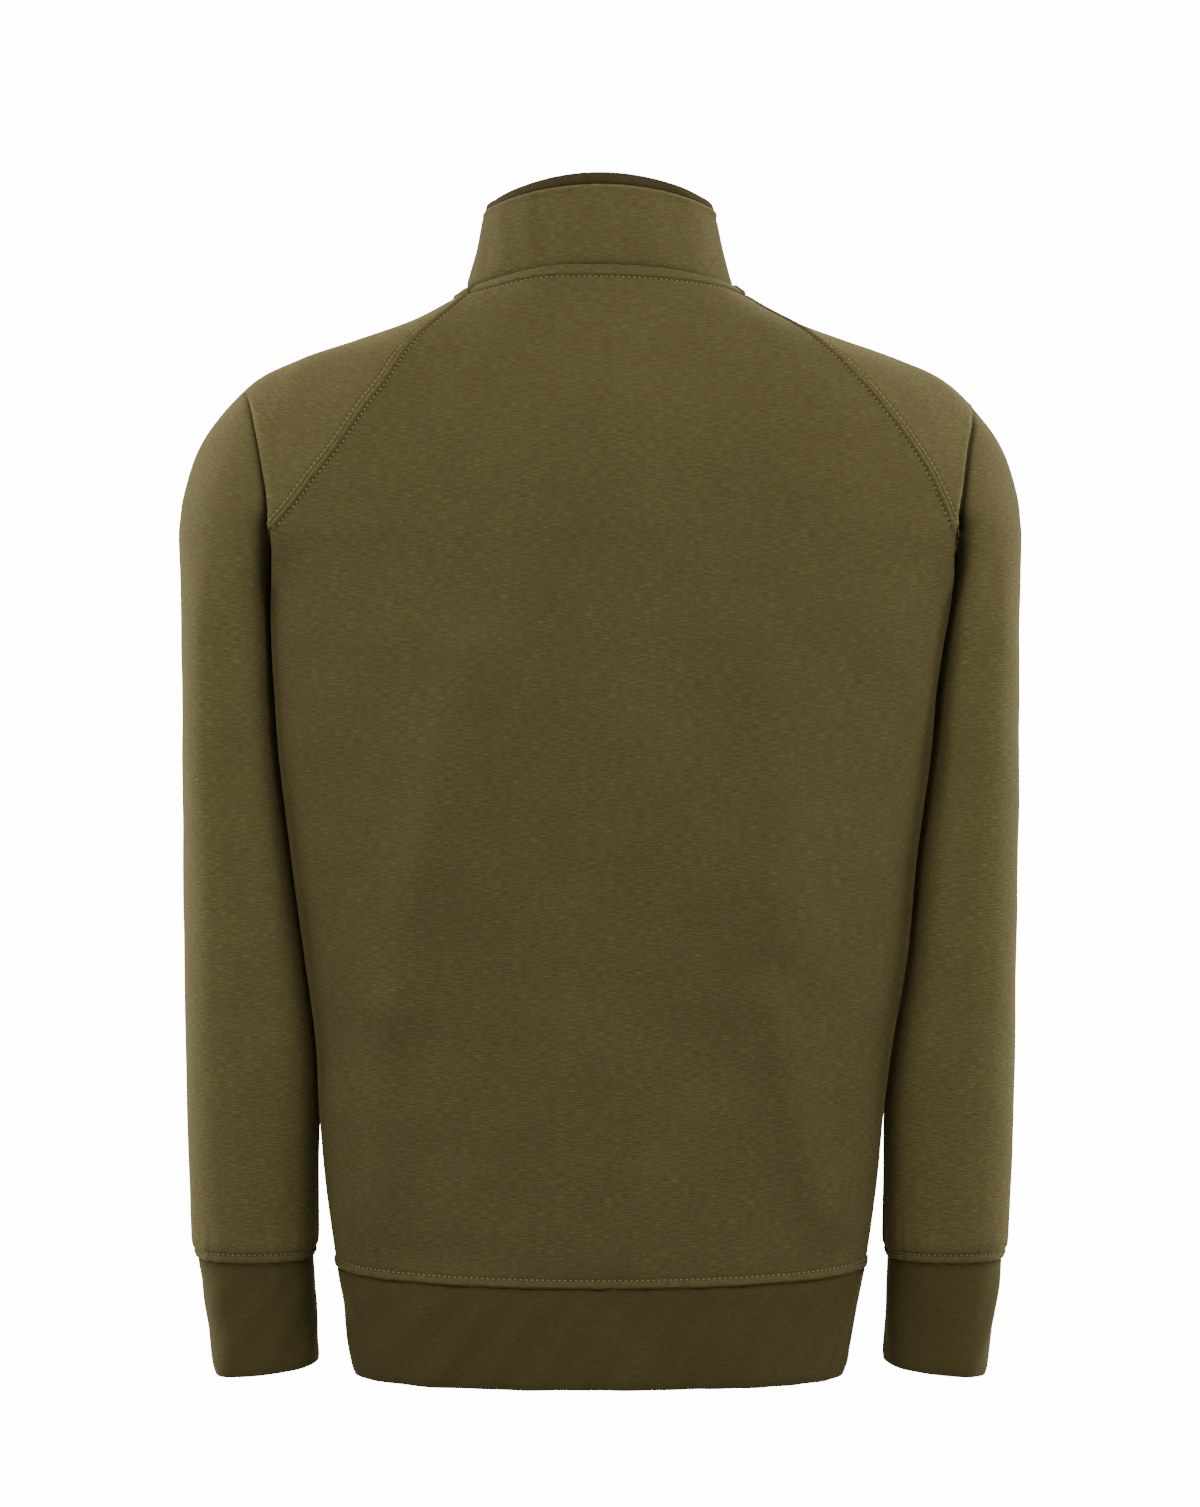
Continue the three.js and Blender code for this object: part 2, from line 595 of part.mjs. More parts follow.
// The limits of a piece on a ring of the yoke. At a raglan seam they stand back from it by half the
// seam gap, measured square to the seam.
function seamLimits(piece, at) {
  const limits = piece.yokeLimits(at);
  return limits.map((limit, end) => {
    if (!piece.walls[end]) return limit;
    const step = ANGLE_STEP * Math.sign(limits[1 - end] - limit);
    const here = piece.yoke(at, limit);
    const alongRow = piece.yoke(at, limit + step).sub(here);
    const before = at - RING_STEP;
    const alongSeam = piece.yoke(before, piece.yokeLimits(before)[end]).sub(here);
    const slant = Math.sin(alongRow.angleTo(alongSeam));
    return limit + (step * SEAM_GAP) / 2 / slant / alongRow.length();
  });
}

function pieceGrid(piece) {
  const rows = ARMPIT_ROW + piece.depths.length - 1;
  const points = [];
  for (let row = -1; row <= rows + 1; row += 1) points.push(pieceRow(piece, row));
  return points;
}

function pieceGeometry(piece, turn) {
  const points = pieceGrid(piece);
  const columns = points[0].length - 3;
  const firstMain = piece.walls[0] ? SIDE_COLUMNS : 0;
  const lastMain = piece.walls[1] ? columns - SIDE_COLUMNS : columns;
  const present = (row, column) => row >= ARMPIT_ROW || (column >= firstMain && column < lastMain);
  return wallGeometry(points, { thickness: CLOTH, turn, present });
}

// A raglan seam's angle on the yoke for one side (1 left, -1 right) and face (1 back, -1 front).
function raglanAngle(at, side, face) {
  return radians(smooth(raglanSeams, `${face > 0 ? "back" : "front"}${side > 0 ? "Left" : "Right"}`, at));
}

// An angle measured from the left shoulder line, turned to the given side and face.
function turned(angle, side, face) {
  if (side > 0) return face * angle;
  return face > 0 ? Math.PI - angle : angle - Math.PI;
}

function zipAngle(halfX) {
  return Math.acos(ZIP_EDGE / halfX);
}

function backPanel() {
  const corner = radians(BODY_CORNER_ANGLE);
  const seam = radians(SEAM_ANGLE) + SEAM_GAP / 2 / smooth(bodyRings, "frontY", ARMPIT_Z);
  return pieceGeometry({
    columns: BACK_COLUMNS,
    depths: BODY_DEPTHS,
    walls: [true, true],
    outward: [-1, 1],
    yoke: yokePoint,
    yokeLimits: (at) => [raglanAngle(at, 1, 1), Math.PI - raglanAngle(at, -1, 1)],
    tube: bodyPoint,
    tubeLimits: () => [corner, Math.PI - corner],
    seamAngles: [seam, Math.PI - seam],
    sag: hemSag,
  }, -1);
}

function frontPanel(side) {
  const halfX = side > 0 ? "leftX" : "rightX";
  const seam = -radians(SEAM_ANGLE) + SEAM_GAP / 2 / smooth(bodyRings, "frontY", ARMPIT_Z);
  return pieceGeometry({
    columns: FRONT_COLUMNS,
    depths: BODY_DEPTHS,
    walls: [true, false],
    outward: [-side, 0],
    yoke: yokePoint,
    yokeLimits: (at) => [
      turned(raglanAngle(at, side, -1), side, -1),
      turned(zipAngle(smooth(yokeRings, "sideX", at)), side, -1),
    ],
    tube: bodyPoint,
    tubeLimits: (z) => [
      turned(radians(BODY_CORNER_ANGLE), side, -1),
      turned(zipAngle(smooth(bodyRings, halfX, z)), side, -1),
    ],
    seamAngles: [turned(seam, side, -1), 0],
    sag: hemSag,
  }, side);
}

function sleeve(side) {
  const corner = radians(SLEEVE_CORNER_ANGLE);
  const seam = Math.PI - SEAM_GAP / 2 / smooth(armRings, "backY", ARMPIT_Z);
  return pieceGeometry({
    columns: SLEEVE_COLUMNS,
    edgeWidth: SLEEVE_EDGE_WIDTH,
    depths: SLEEVE_DEPTHS,
    walls: [true, true],
    outward: [side, side],
    yoke: (at, angle) => yokePoint(at, side > 0 ? angle : Math.PI - angle),
    yokeLimits: (at) => [raglanAngle(at, side, 1), -raglanAngle(at, side, -1)],
    tube: (z, angle) => armPoint(side, z, angle, cuffDraw(z)),
    tubeLimits: () => [corner, -corner],
    seamAngles: [seam, -seam],
    sag: () => 0,
  }, side);
}

// ---------- collar, hem band and cuffs ----------

// A piece that goes round the garment from one edge of the zip to the other. Each row is a curve
// over the angle, with its half width.
function wrapGeometry(rows, columns, edge, options) {
  const points = rows.map(({ curve, halfX }) => {
    const end = Math.acos(edge / halfX);
    const angles = evenAngles(curve, -end, Math.PI + end, columns);
    return rowOfPoints(columns, (k) => curve(angleAt(angles, k)));
  });
  return wallGeometry(points, options);
}

function collarRow(at) {
  return { curve: (angle) => collarPoint(at, angle), halfX: smooth(collarRings, "sideX", at) };
}

function collarOuter() {
  const rows = outerCollarRows.map(collarRow);
  return wrapGeometry(rows, COLLAR_COLUMNS, ZIP_EDGE, { thickness: CLOTH, turn: 1 });
}

function collarInner() {
  const rows = innerCollarRows.map(({ at }) => collarRow(at));
  const depth = (row) => innerCollarRows[row + 1].depth;
  const edge = ZIP_EDGE + COLLAR_PLY_SETBACK;
  return wrapGeometry(rows, COLLAR_COLUMNS, edge, { thickness: CLOTH, depth, turn: 1 });
}

// A point of the hem band: `share` is 0 at its seam and 1 at its lower edge.
function hemPoint(share, inset, angle) {
  const z = lerp(BODY_END_Z - HEM_GAP - hemSag(BODY_END_Z, angle), HEM_END_Z, share);
  const point = bodyPoint(z, angle);
  return new THREE.Vector3(point.x - inset * Math.cos(angle), point.y - inset * Math.sin(angle), z);
}

function hemBand() {
  const rows = hemRows.map(({ share, inset }) => ({
    curve: (angle) => hemPoint(share, inset, angle),
    halfX: smooth(bodyRings, "leftX", lerp(BODY_END_Z, HEM_END_Z, share)),
  }));
  return wrapGeometry(rows, HEM_COLUMNS, ZIP_EDGE, { thickness: RIB, turn: -1 });
}

function cuff(side) {
  const points = cuffRows.map(({ share, inset }) => {
    const z = lerp(SLEEVE_END_Z - HEM_GAP, CUFF_END_Z, share);
    const curve = (angle) => {
      const tilt = CUFF_TILT * share * Math.cos(angle);
      return armPoint(side, z, angle, -CUFF_INSET - inset).setZ(z - tilt);
    };
    const angles = evenAngles(curve, 0, 2 * Math.PI, CUFF_COLUMNS);
    return rowOfPoints(CUFF_COLUMNS, (k) => curve(angleAt(angles, k)));
  });
  return wallGeometry(points, { thickness: RIB, turn: -side, loop: true });
}

// ---------- zip ----------

// The face of the fronts near the zip, from the hem's lower edge to the collar's top. Each row is a
// function of the distance from the centre front.
function frontLine() {
  const onRing = (halfX, point) => (x) => point(-Math.acos(x / halfX));
  const bandHalf = smooth(bodyRings, "leftX", HEM_END_Z);
  const band = hemRows.slice(1, -1).reverse()
    .map(({ share, inset }) => onRing(bandHalf, (angle) => hemPoint(share, inset, angle)));
  const body = BODY_DEPTHS.slice(1).reverse().map((depth) => (x) => {
    const level = ARMPIT_Z - depth;
    const angle = -Math.acos(x / smooth(bodyRings, "leftX", level));
    const z = level - hemSag(level, angle);
    const upper = yokePoint(1, -Math.acos(x / smooth(yokeRings, "sideX", 1))).setZ(z);
    return upper.lerp(bodyPoint(z, angle), joined(level));
  });
  const yoke = YOKE_ROWS.slice(1).reverse()
    .map((at) => onRing(smooth(yokeRings, "sideX", at), (angle) => yokePoint(at, angle)));
  const collar = [...outerCollarRows.slice(1, -2), CHAIN_TOP, TAPE_TOP]
    .map((at) => onRing(smooth(collarRings, "sideX", at), (angle) => collarPoint(at, angle)));
  return { band, body, yoke, collar };
}

// A strip along the front, between two distances from its centre.
function stripGeometry(line, fromX, toX, depth, thickness) {
  const step = (toX - fromX) / 2;
  const points = line.map((row) => [-1, 0, 1, 2, 3].map((k) => row(fromX + k * step)));
  const rowBeyond = (edge, next) => edge.map((point, k) => beyond(point, next[k]));
  points.unshift(rowBeyond(points[0], points[1]));
  points.push(rowBeyond(points[points.length - 1], points[points.length - 2]));
  return wallGeometry(points, { thickness, depth, turn: 1 });
}

function zipTape(side) {
  const { band, body, yoke, collar } = frontLine();
  const [from, to] = side > 0 ? [TAPE_INNER, TAPE_OUTER] : [-TAPE_OUTER, -TAPE_INNER];
  const depth = (row) => (row < band.length ? BAND_TAPE_DEPTH : TAPE_DEPTH);
  return stripGeometry([...band, ...body, ...yoke, ...collar], from, to, depth, TAPE_THICK);
}

function zipChain() {
  const { band, body, yoke, collar } = frontLine();
  const line = [...band.slice(CHAIN_FIRST_ROW), ...body, ...yoke, ...collar.slice(0, -1)];
  return stripGeometry(line, -CHAIN_HALF, CHAIN_HALF, () => CHAIN_DEPTH, CHAIN_THICK);
}

function solid(geometry) {
  const bare = geometry.clone();
  bare.deleteAttribute("normal");
  bare.deleteAttribute("uv");
  const merged = mergeVertices(bare, 1e-4);
  const mesh = new wasm.Mesh({
    numProp: 3,
    vertProperties: new Float32Array(merged.attributes.position.array),
    triVerts: new Uint32Array(merged.index.array),
  });
  return new wasm.Manifold(mesh);
}

function geometryOf(manifold) {
  const mesh = manifold.getMesh();
  const geometry = new THREE.BufferGeometry();
  geometry.setAttribute("position", new THREE.Float32BufferAttribute(mesh.vertProperties, 3));
  geometry.setIndex([...mesh.triVerts]);
  return geometry;
}

function box(fromX, toX, fromY, toY, fromZ, toZ) {
  const geometry = new THREE.BoxGeometry(toX - fromX, toY - fromY, toZ - fromZ);
  return geometry.translate((fromX + toX) / 2, (fromY + toY) / 2, (fromZ + toZ) / 2);
}

// A flat plate standing in the XZ plane, from y = front to y = back, with softened edges.
function plate(shape, front, back) {
  const geometry = new THREE.ExtrudeGeometry(shape, {
    depth: back - front - 2 * PLATE_BEVEL,
    bevelThickness: PLATE_BEVEL,
    bevelSize: PLATE_BEVEL,
    bevelOffset: -PLATE_BEVEL,
    bevelSegments: 1,
    curveSegments: 5,
  });
  return geometry.rotateX(Math.PI / 2).translate(0, back - PLATE_BEVEL, 0);
}

// The slider's outline: wider at the top, where the two rows of teeth part.
function sliderShape() {
  const shape = new THREE.Shape();
  shape.moveTo(-SLIDER_FOOT, SLIDER_BOTTOM);
  shape.lineTo(SLIDER_FOOT, SLIDER_BOTTOM);
  shape.lineTo(SLIDER_HEAD, SLIDER_BOTTOM + SLIDER_TAPER);
  shape.lineTo(SLIDER_HEAD, SLIDER_TOP - SLIDER_ROUND);
  shape.quadraticCurveTo(SLIDER_HEAD, SLIDER_TOP, 0, SLIDER_TOP);
  shape.quadraticCurveTo(-SLIDER_HEAD, SLIDER_TOP, -SLIDER_HEAD, SLIDER_TOP - SLIDER_ROUND);
  shape.lineTo(-SLIDER_HEAD, SLIDER_BOTTOM + SLIDER_TAPER);
  return shape;
}

// Two plates joined by a post between the tapes, two flanges beside the teeth, and the bail that
// holds the pull tab. y = 0 is the face of the collar, and the front is towards -Y.
function zipSlider() {
  const bar = BAIL_THICK;
  const bailTop = BAIL_BOTTOM + BAIL_LENGTH;
  const root = -SLIDER_FRONT - SLIDER_SINK;
  const bailFront = PLATE_FACE - BAIL_DEPTH - bar;
  let body = solid(plate(sliderShape(), PLATE_FACE, -SLIDER_FRONT));
  const parts = [
    plate(sliderShape(), SLIDER_REAR, SLIDER_REAR + REAR_PLATE),
    box(-POST_HALF, POST_HALF, root, SLIDER_REAR + SLIDER_SINK, POST_BOTTOM, POST_TOP),
    box(-FLANGE_OUTER, -FLANGE_INNER, root, FLANGE_DEPTH, FLANGE_BOTTOM, FLANGE_TOP),
    box(FLANGE_INNER, FLANGE_OUTER, root, FLANGE_DEPTH, FLANGE_BOTTOM, FLANGE_TOP),
    box(-BAIL_HALF, BAIL_HALF, bailFront, PLATE_FACE + SLIDER_SINK, BAIL_BOTTOM, bailTop),
  ];
  for (const part of parts) body = body.add(solid(part));
  const eyeHalf = 2 * BAIL_HALF;
  const eye = box(-eyeHalf, eyeHalf, PLATE_FACE - BAIL_DEPTH, PLATE_FACE, BAIL_BOTTOM + bar, bailTop - bar);
  return geometryOf(body.subtract(solid(eye)));
}

// The pull tab, hanging. y = 0, z = 0 is its hinge: the bar across its top runs through the bail.
function zipPull() {
  const shape = new THREE.Shape();
  const bar = PULL_THICK / 2;
  shape.moveTo(-PULL_HALF, bar);
  shape.lineTo(-PULL_HALF, -PULL_LENGTH + PULL_HALF);
  shape.absarc(0, -PULL_LENGTH + PULL_HALF, PULL_HALF, Math.PI, 2 * Math.PI, false);
  shape.lineTo(PULL_HALF, bar);
  const windowHole = new THREE.Path();
  windowHole.moveTo(-PULL_WINDOW_HALF, -bar);
  windowHole.lineTo(PULL_WINDOW_HALF, -bar);
  windowHole.lineTo(PULL_WINDOW_HALF, -PULL_WINDOW_END);
  windowHole.lineTo(-PULL_WINDOW_HALF, -PULL_WINDOW_END);
  const gripHole = new THREE.Path();
  gripHole.absarc(0, -PULL_LENGTH + PULL_HALF, PULL_HOLE_RADIUS, 0, 2 * Math.PI, true);
  shape.holes.push(windowHole, gripHole);
  return geometryOf(solid(plate(shape, -bar, bar)));
}

function zipBox() {
  const shape = new THREE.Shape();
  shape.moveTo(-BOX_HALF, BOX_BOTTOM);
  shape.lineTo(BOX_HALF, BOX_BOTTOM);
  shape.lineTo(BOX_HALF, BOX_TOP);
  shape.lineTo(-BOX_HALF, BOX_TOP);
  return geometryOf(solid(plate(shape, -BOX_PROUD, TAPE_DEPTH - SEAM_GAP)));
}

// ---------- the garment ----------

const JERSEY = finish(COLOURS.jersey, 0.95, 0);
const BAND = finish(COLOURS.rib, 0.95, 0);
const TAPE = finish(COLOURS.tape, 0.9, 0);
const TEETH = finish(COLOURS.teeth, 0.5, 0);
const METAL = finish(COLOURS.metal, 0.4, 0.9);
const LEFT = 1;
const RIGHT = -1;

const collarFace = collarPoint(SLIDER_PLACE, -Math.PI / 2);
const hemFace = hemPoint(BOX_PLACE, 0, -Math.PI / 2);
const hingeY = collarFace.y + PLATE_FACE - BAIL_DEPTH / 2;

const garment = new THREE.Group();

function addPiece(name, geometry, material, x = 0, y = 0, z = 0) {
  const mesh = new THREE.Mesh(geometry, material);
  mesh.name = name;
  mesh.position.set(x, y, z);
  garment.add(mesh);
}

addPiece("back", backPanel(), JERSEY);
addPiece("front_left", frontPanel(LEFT), JERSEY);
addPiece("front_right", frontPanel(RIGHT), JERSEY);
addPiece("sleeve_left", sleeve(LEFT), JERSEY);
addPiece("sleeve_right", sleeve(RIGHT), JERSEY);
addPiece("collar_outer", collarOuter(), JERSEY);
addPiece("collar_inner", collarInner(), JERSEY);
addPiece("hem_band", hemBand(), BAND);
addPiece("cuff_left", cuff(LEFT), BAND);
addPiece("cuff_right", cuff(RIGHT), BAND);
addPiece("zip_tape_left", zipTape(LEFT), TAPE);
addPiece("zip_tape_right", zipTape(RIGHT), TAPE);
addPiece("zip_chain", zipChain(), TEETH);
addPiece("zip_box", zipBox(), METAL, 0, hemFace.y, 0);
addPiece("zip_slider", zipSlider(), METAL, 0, collarFace.y, collarFace.z);
addPiece("zip_pull", zipPull(), METAL, 0, hingeY, collarFace.z + HINGE_Z);

export default garment;
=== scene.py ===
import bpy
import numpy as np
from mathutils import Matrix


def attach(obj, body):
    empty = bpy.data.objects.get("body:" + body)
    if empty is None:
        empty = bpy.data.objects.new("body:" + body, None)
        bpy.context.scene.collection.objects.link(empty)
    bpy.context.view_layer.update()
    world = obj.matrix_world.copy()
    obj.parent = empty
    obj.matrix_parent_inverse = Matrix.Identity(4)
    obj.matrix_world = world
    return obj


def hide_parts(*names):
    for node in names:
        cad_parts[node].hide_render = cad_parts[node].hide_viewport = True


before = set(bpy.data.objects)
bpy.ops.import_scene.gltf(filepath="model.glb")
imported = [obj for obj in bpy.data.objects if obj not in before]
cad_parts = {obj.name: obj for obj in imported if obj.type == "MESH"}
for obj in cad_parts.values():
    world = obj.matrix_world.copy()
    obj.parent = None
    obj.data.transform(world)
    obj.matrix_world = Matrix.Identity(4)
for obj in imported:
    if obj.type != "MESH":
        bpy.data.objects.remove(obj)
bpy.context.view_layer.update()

# A full-zip sweatshirt with raglan sleeves and a stand collar, hollow and filled out as it is when
# worn. Metres: +X is the wearer's left, the zip faces -Y, +Z is up, and the origin is the middle of
# the neck at the height of the neck seam.


# ------------------------------------------------------------------------------ back panel
# The back is one piece of brushed sweatshirt jersey, cut to two raglan seams and two side seams.
# It is overlocked to the sleeves and fronts, and the seams are then stitched down on both sides.

# The yoke is a set of rings round the neck, from the neck seam (at = 0) to the armpits (at = 1).
yoke_rings = {
    "at": [0, 0.05, 0.16, 0.29, 0.42, 0.54, 0.65, 0.77, 0.89, 1],
    "side_x": [0.0865, 0.095, 0.12, 0.155, 0.19, 0.218, 0.239, 0.256, 0.265, 0.2675],
    "side_z": [-0.001, -0.007, -0.02, -0.0325, -0.045, -0.058, -0.0775, -0.103, -0.133, -0.156],
    "back_y": [0.062, 0.066, 0.073, 0.082, 0.09, 0.095, 0.098, 0.0995, 0.1, 0.1005],
    "back_z": [0.008, 0.0005, -0.018, -0.042, -0.068, -0.092, -0.113, -0.131, -0.146, -0.156],
    "front_y": [0.06, 0.066, 0.076, 0.088, 0.098, 0.104, 0.108, 0.11, 0.111, 0.112],
    "front_z": [-0.06, -0.066, -0.076, -0.089, -0.102, -0.114, -0.125, -0.136, -0.147, -0.156],
    "square": [2, 2.05, 2.15, 2.3, 2.5, 2.7, 2.85, 3, 3.1, 3.2],
}
# The raglan seams' angles on those rings, in degrees from the shoulder line.
raglan_seams = {
    "at": [0, 0.05, 0.16, 0.29, 0.42, 0.54, 0.65, 0.77, 0.89, 1],
    "back_left": [22, 26, 35, 43.5, 49.5, 51.5, 52, 51.5, 50, 48],
    "back_right": [12, 13.5, 18, 32, 40, 43, 44, 44.5, 44.2, 43.5],
    "front_left": [25, 28, 34, 41, 45.5, 48, 49, 49, 48.5, 48],
    "front_right": [24, 27, 33, 39, 43, 45, 46, 46, 45, 43.5],
}
# The fold where each sleeve drops behind the body, above the armpit: the distance of its foot from
# the middle of the garment, and its depth.
armhole_folds = {
    "at": [0.58, 0.595, 0.62, 0.66, 0.72, 0.78, 0.84, 0.9, 0.95, 1],
    "left_x": [0.2275, 0.222, 0.218, 0.2153, 0.2124, 0.21, 0.208, 0.207, 0.2067, 0.2066],
    "left_depth": [0.0004, 0.0012, 0.0017, 0.0023, 0.0032, 0.0043, 0.006, 0.0092, 0.0155, 0.0245],
    "right_x": [0.243, 0.241, 0.239, 0.2365, 0.2328, 0.2298, 0.2275, 0.2255, 0.2243, 0.2239],
    "right_depth": [0, 0, 0.0008, 0.0017, 0.0026, 0.0036, 0.0052, 0.0082, 0.014, 0.023],
}
# The body below the armpits, by height.
body_rings = {
    "at": [-0.156, -0.206, -0.26, -0.3, -0.361, -0.426, -0.48, -0.522, -0.57, -0.6216, -0.65, -0.675,
           -0.6905],
    "left_x": [0.2055, 0.2075, 0.206, 0.2035, 0.1965, 0.188, 0.181, 0.179, 0.175, 0.168, 0.1638,
               0.1605, 0.158],
    "right_x": [0.2225, 0.22, 0.213, 0.2095, 0.2015, 0.1955, 0.1865, 0.181, 0.1765, 0.1695, 0.1642,
                0.1605, 0.158],
    "back_y": [0.1005, 0.102, 0.1025, 0.102, 0.1005, 0.098, 0.0965, 0.096, 0.0955, 0.094, 0.093,
               0.0915, 0.09],
    "front_y": [0.112, 0.115, 0.117, 0.117, 0.115, 0.1115, 0.109, 0.107, 0.105, 0.102, 0.1005, 0.099,
                0.0975],
    "square": [5, 4.6, 4.2, 3.9, 3.6, 3.3, 3.1, 3, 2.85, 2.7, 2.65, 2.6, 2.6],
}
# Soft ridges of the hanging cloth, each along a line on the back (face 1) or the front (face -1).
drape_folds = {
    "face": [1, 1, 1, 1, -1, -1],
    "from_x": [0.077, 0.134, -0.104, -0.095, 0.084, -0.092],
    "from_z": [-0.235, -0.455, -0.45, -0.215, -0.215, -0.23],
    "to_x": [0.134, 0.14, -0.141, -0.12, 0.11, -0.122],
    "to_z": [-0.455, -0.6, -0.59, -0.42, -0.43, -0.47],
    "width": [0.02, 0.018, 0.016, 0.024, 0.022, 0.02],
    "height": [0.0055, 0.0036, 0.0042, 0.003, 0.0028, 0.0028],
}

ARMPIT_Z = -0.156
ARMHOLE_DROP = 0.030        # the armhole curves down below the armpits by this much
UNDERARM_Y = -0.005         # where the side seam and the underarm seam meet
JOIN_LENGTH = 0.075         # height over which the yoke's form turns into the tubes below it
CORNER_JOIN = 0.12          # a sleeve's corners under the armhole do so over this share of it
CORNER_REACH = 0.06         # and the cloth up to this far from them over more and more of it
BODY_END_Z = -0.6216        # the hem seam at the sides
HEM_SEAM_SAG = 0.0055       # and how much lower it hangs at the centres
SIDE_SEAM_ANGLE = np.radians(-2.5)
BODY_CORNER_ANGLE = np.radians(25)
SEAM_GAP = 0.0001           # left between two panels' edges along a seam
FOLD_STEP = 0.0018          # the width of the step into an armhole fold
FOLD_FADE = 0.008           # over which the fold fades out on the sleeve
FOLD_START = {1: 0.6, -1: 0.66}     # the ring from which the columns follow each side's folds
FOLD_CROWD = 6              # how much closer the columns stand across a fold
FOLD_REACH = 0.0035         # and how far from it
LIP_HEIGHT = 0.0008         # the edge of cloth that stands up along a fold
LIP_WIDTH = 0.0010
FOOT_DEPTH = 0.0010         # the thin hollow at the fold's foot
FOOT_WIDTH = 0.0016
CLOTH_THICK = 0.0016


def smooth(table, column, at):
    """A table's column at any place: a cubic between two rows, its slopes taken from their
    neighbours, and a straight line past the ends."""
    rows = np.array(table["at"], float)
    values = np.array(table[column], float)
    if rows[0] > rows[-1]:
        rows, values = rows[::-1], values[::-1]
    slopes = np.gradient(values, rows)
    slopes[1:-1] = (values[2:] - values[:-2]) / (rows[2:] - rows[:-2])
    at = np.asarray(at, float)
    k = np.clip(np.searchsorted(rows, at, side="right") - 1, 0, len(rows) - 2)
    step = rows[k + 1] - rows[k]
    t = np.clip((at - rows[k]) / step, 0, 1)
    between = ((2 * t**3 - 3 * t**2 + 1) * values[k] + (t**3 - 2 * t**2 + t) * step * slopes[k]
               + (3 * t**2 - 2 * t**3) * values[k + 1] + (t**3 - t**2) * step * slopes[k + 1])
    past = np.minimum(at - rows[0], 0) * slopes[0] + np.maximum(at - rows[-1], 0) * slopes[-1]
    return between + past


def ease(t):
    """0 below 0, 1 above 1, and 3t^2 - 2t^3 between."""
    t = np.clip(t, 0, 1)
    return t * t * (3 - 2 * t)


def mix(a, b, t):
    """a where t is 0, b where t is 1, and straight between."""
    return a + (b - a) * t


def bell(off, middle, width):
    """1 at the middle, falling off to both sides over the width."""
    return np.exp(-(((off - middle) / width) ** 2))


def ring(half_x, half_y, square, angle):
    """x and y on |x/half_x|^n + |y/half_y|^n = 1 in the direction of an angle, and the share
    |y/half_y|. n is how square the ring is."""
    c, s = np.cos(angle), np.sin(angle)
    q = (np.abs(c) ** square + np.abs(s) ** square) ** (1 / square)
    return half_x * c / q, half_y * s / q, np.abs(s) / q


def drape(x, z, face):
    """How far the drape ridges lift the cloth: the sum of bells across each ridge's line, each
    faded at the line's ends."""
    lift = np.zeros(np.broadcast(x, z).shape)
    for k, ridge_face in enumerate(drape_folds["face"]):
        start_x, start_z = drape_folds["from_x"][k], drape_folds["from_z"][k]
        run_x, run_z = drape_folds["to_x"][k] - start_x, drape_folds["to_z"][k] - start_z
        length = np.hypot(run_x, run_z)
        along = ((x - start_x) * run_x + (z - start_z) * run_z) / length**2
        across = ((x - start_x) * run_z - (z - start_z) * run_x) / length
        ends = ease(along * 4 + 0.8) * ease((1 - along) * 4 + 0.8)
        ridge = drape_folds["height"][k] * ends * bell(across, 0, drape_folds["width"][k])
        lift = lift + np.where(face == ridge_face, face * ridge, 0)
    return lift


def fold_column(column, at, x):
    """A column of the armhole folds at a place, on its own side and from the folds' upper end."""
    place = np.clip(at, armhole_folds["at"][0], 1)
    return np.where(x >= 0, smooth(armhole_folds, "left_" + column, place),
                    smooth(armhole_folds, "right_" + column, place))


def stepped(off, fade):
    """A step up to 1 at an armhole fold's foot, and its fading out past it."""
    return np.where(off > 0, np.exp(-np.maximum(off, 0) / fade), ease(1 + off / FOLD_STEP))


def fold_drop(at, x, y):
    """How deep the armhole fold is at a place. It drops over a narrow step beside the body, which
    stands proud of it, and fades out on the sleeve. It is a quarter deeper at the front."""
    off = np.abs(x) - fold_column("x", at, x)
    depth = np.where(at < armhole_folds["at"][0], 0, np.maximum(fold_column("depth", at, x), 0))
    return depth * stepped(off, FOLD_FADE) * np.where(y < 0, 1.25, 1) * ease(np.abs(y) / 0.02)


def fold_lip(at, x, y):
    """Height of the lip of cloth along an armhole fold's upper edge and of the hollow at its foot.
    Both begin a little inside the sleeve's outline."""
    off = np.abs(x) - fold_column("x", at, x)
    lip = LIP_HEIGHT * bell(off, -1.3 * FOLD_STEP, LIP_WIDTH) - FOOT_DEPTH * stepped(off, FOOT_WIDTH)
    return lip * ease((at - 0.575) / 0.015) * ease((np.abs(y) - 0.006) / 0.02)


def yoke(at, angle):
    """A point of the yoke: a ring in plan, its height eased from the shoulder line to the centre
    back or front, pressed in along the armhole folds and lifted along the drape ridges."""
    at, angle = np.broadcast_arrays(np.asarray(at, float), np.asarray(angle, float))
    face = np.where(np.sin(angle) >= 0, 1, -1)
    half_y = np.where(face > 0, smooth(yoke_rings, "back_y", at), smooth(yoke_rings, "front_y", at))
    end_z = np.where(face > 0, smooth(yoke_rings, "back_z", at), smooth(yoke_rings, "front_z", at))
    x, y, share = ring(smooth(yoke_rings, "side_x", at), half_y, smooth(yoke_rings, "square", at), angle)
    z = mix(smooth(yoke_rings, "side_z", at), end_z, share**2)
    return np.stack([x, y - face * fold_drop(at, x, y) + drape(x, z, face), z], -1)


def body(z, angle):
    """A point of the body at a height: a ring in plan, lifted along the drape ridges."""
    z, angle = np.broadcast_arrays(np.asarray(z, float), np.asarray(angle, float))
    face = np.where(np.sin(angle) >= 0, 1, -1)
    half_x = np.where(np.cos(angle) >= 0, smooth(body_rings, "left_x", z), smooth(body_rings, "right_x", z))
    half_y = np.where(face > 0, smooth(body_rings, "back_y", z), smooth(body_rings, "front_y", z))
    x, y, _ = ring(half_x, half_y, smooth(body_rings, "square", z), angle)
    return np.stack([x, y + drape(x, z, face), z], -1)


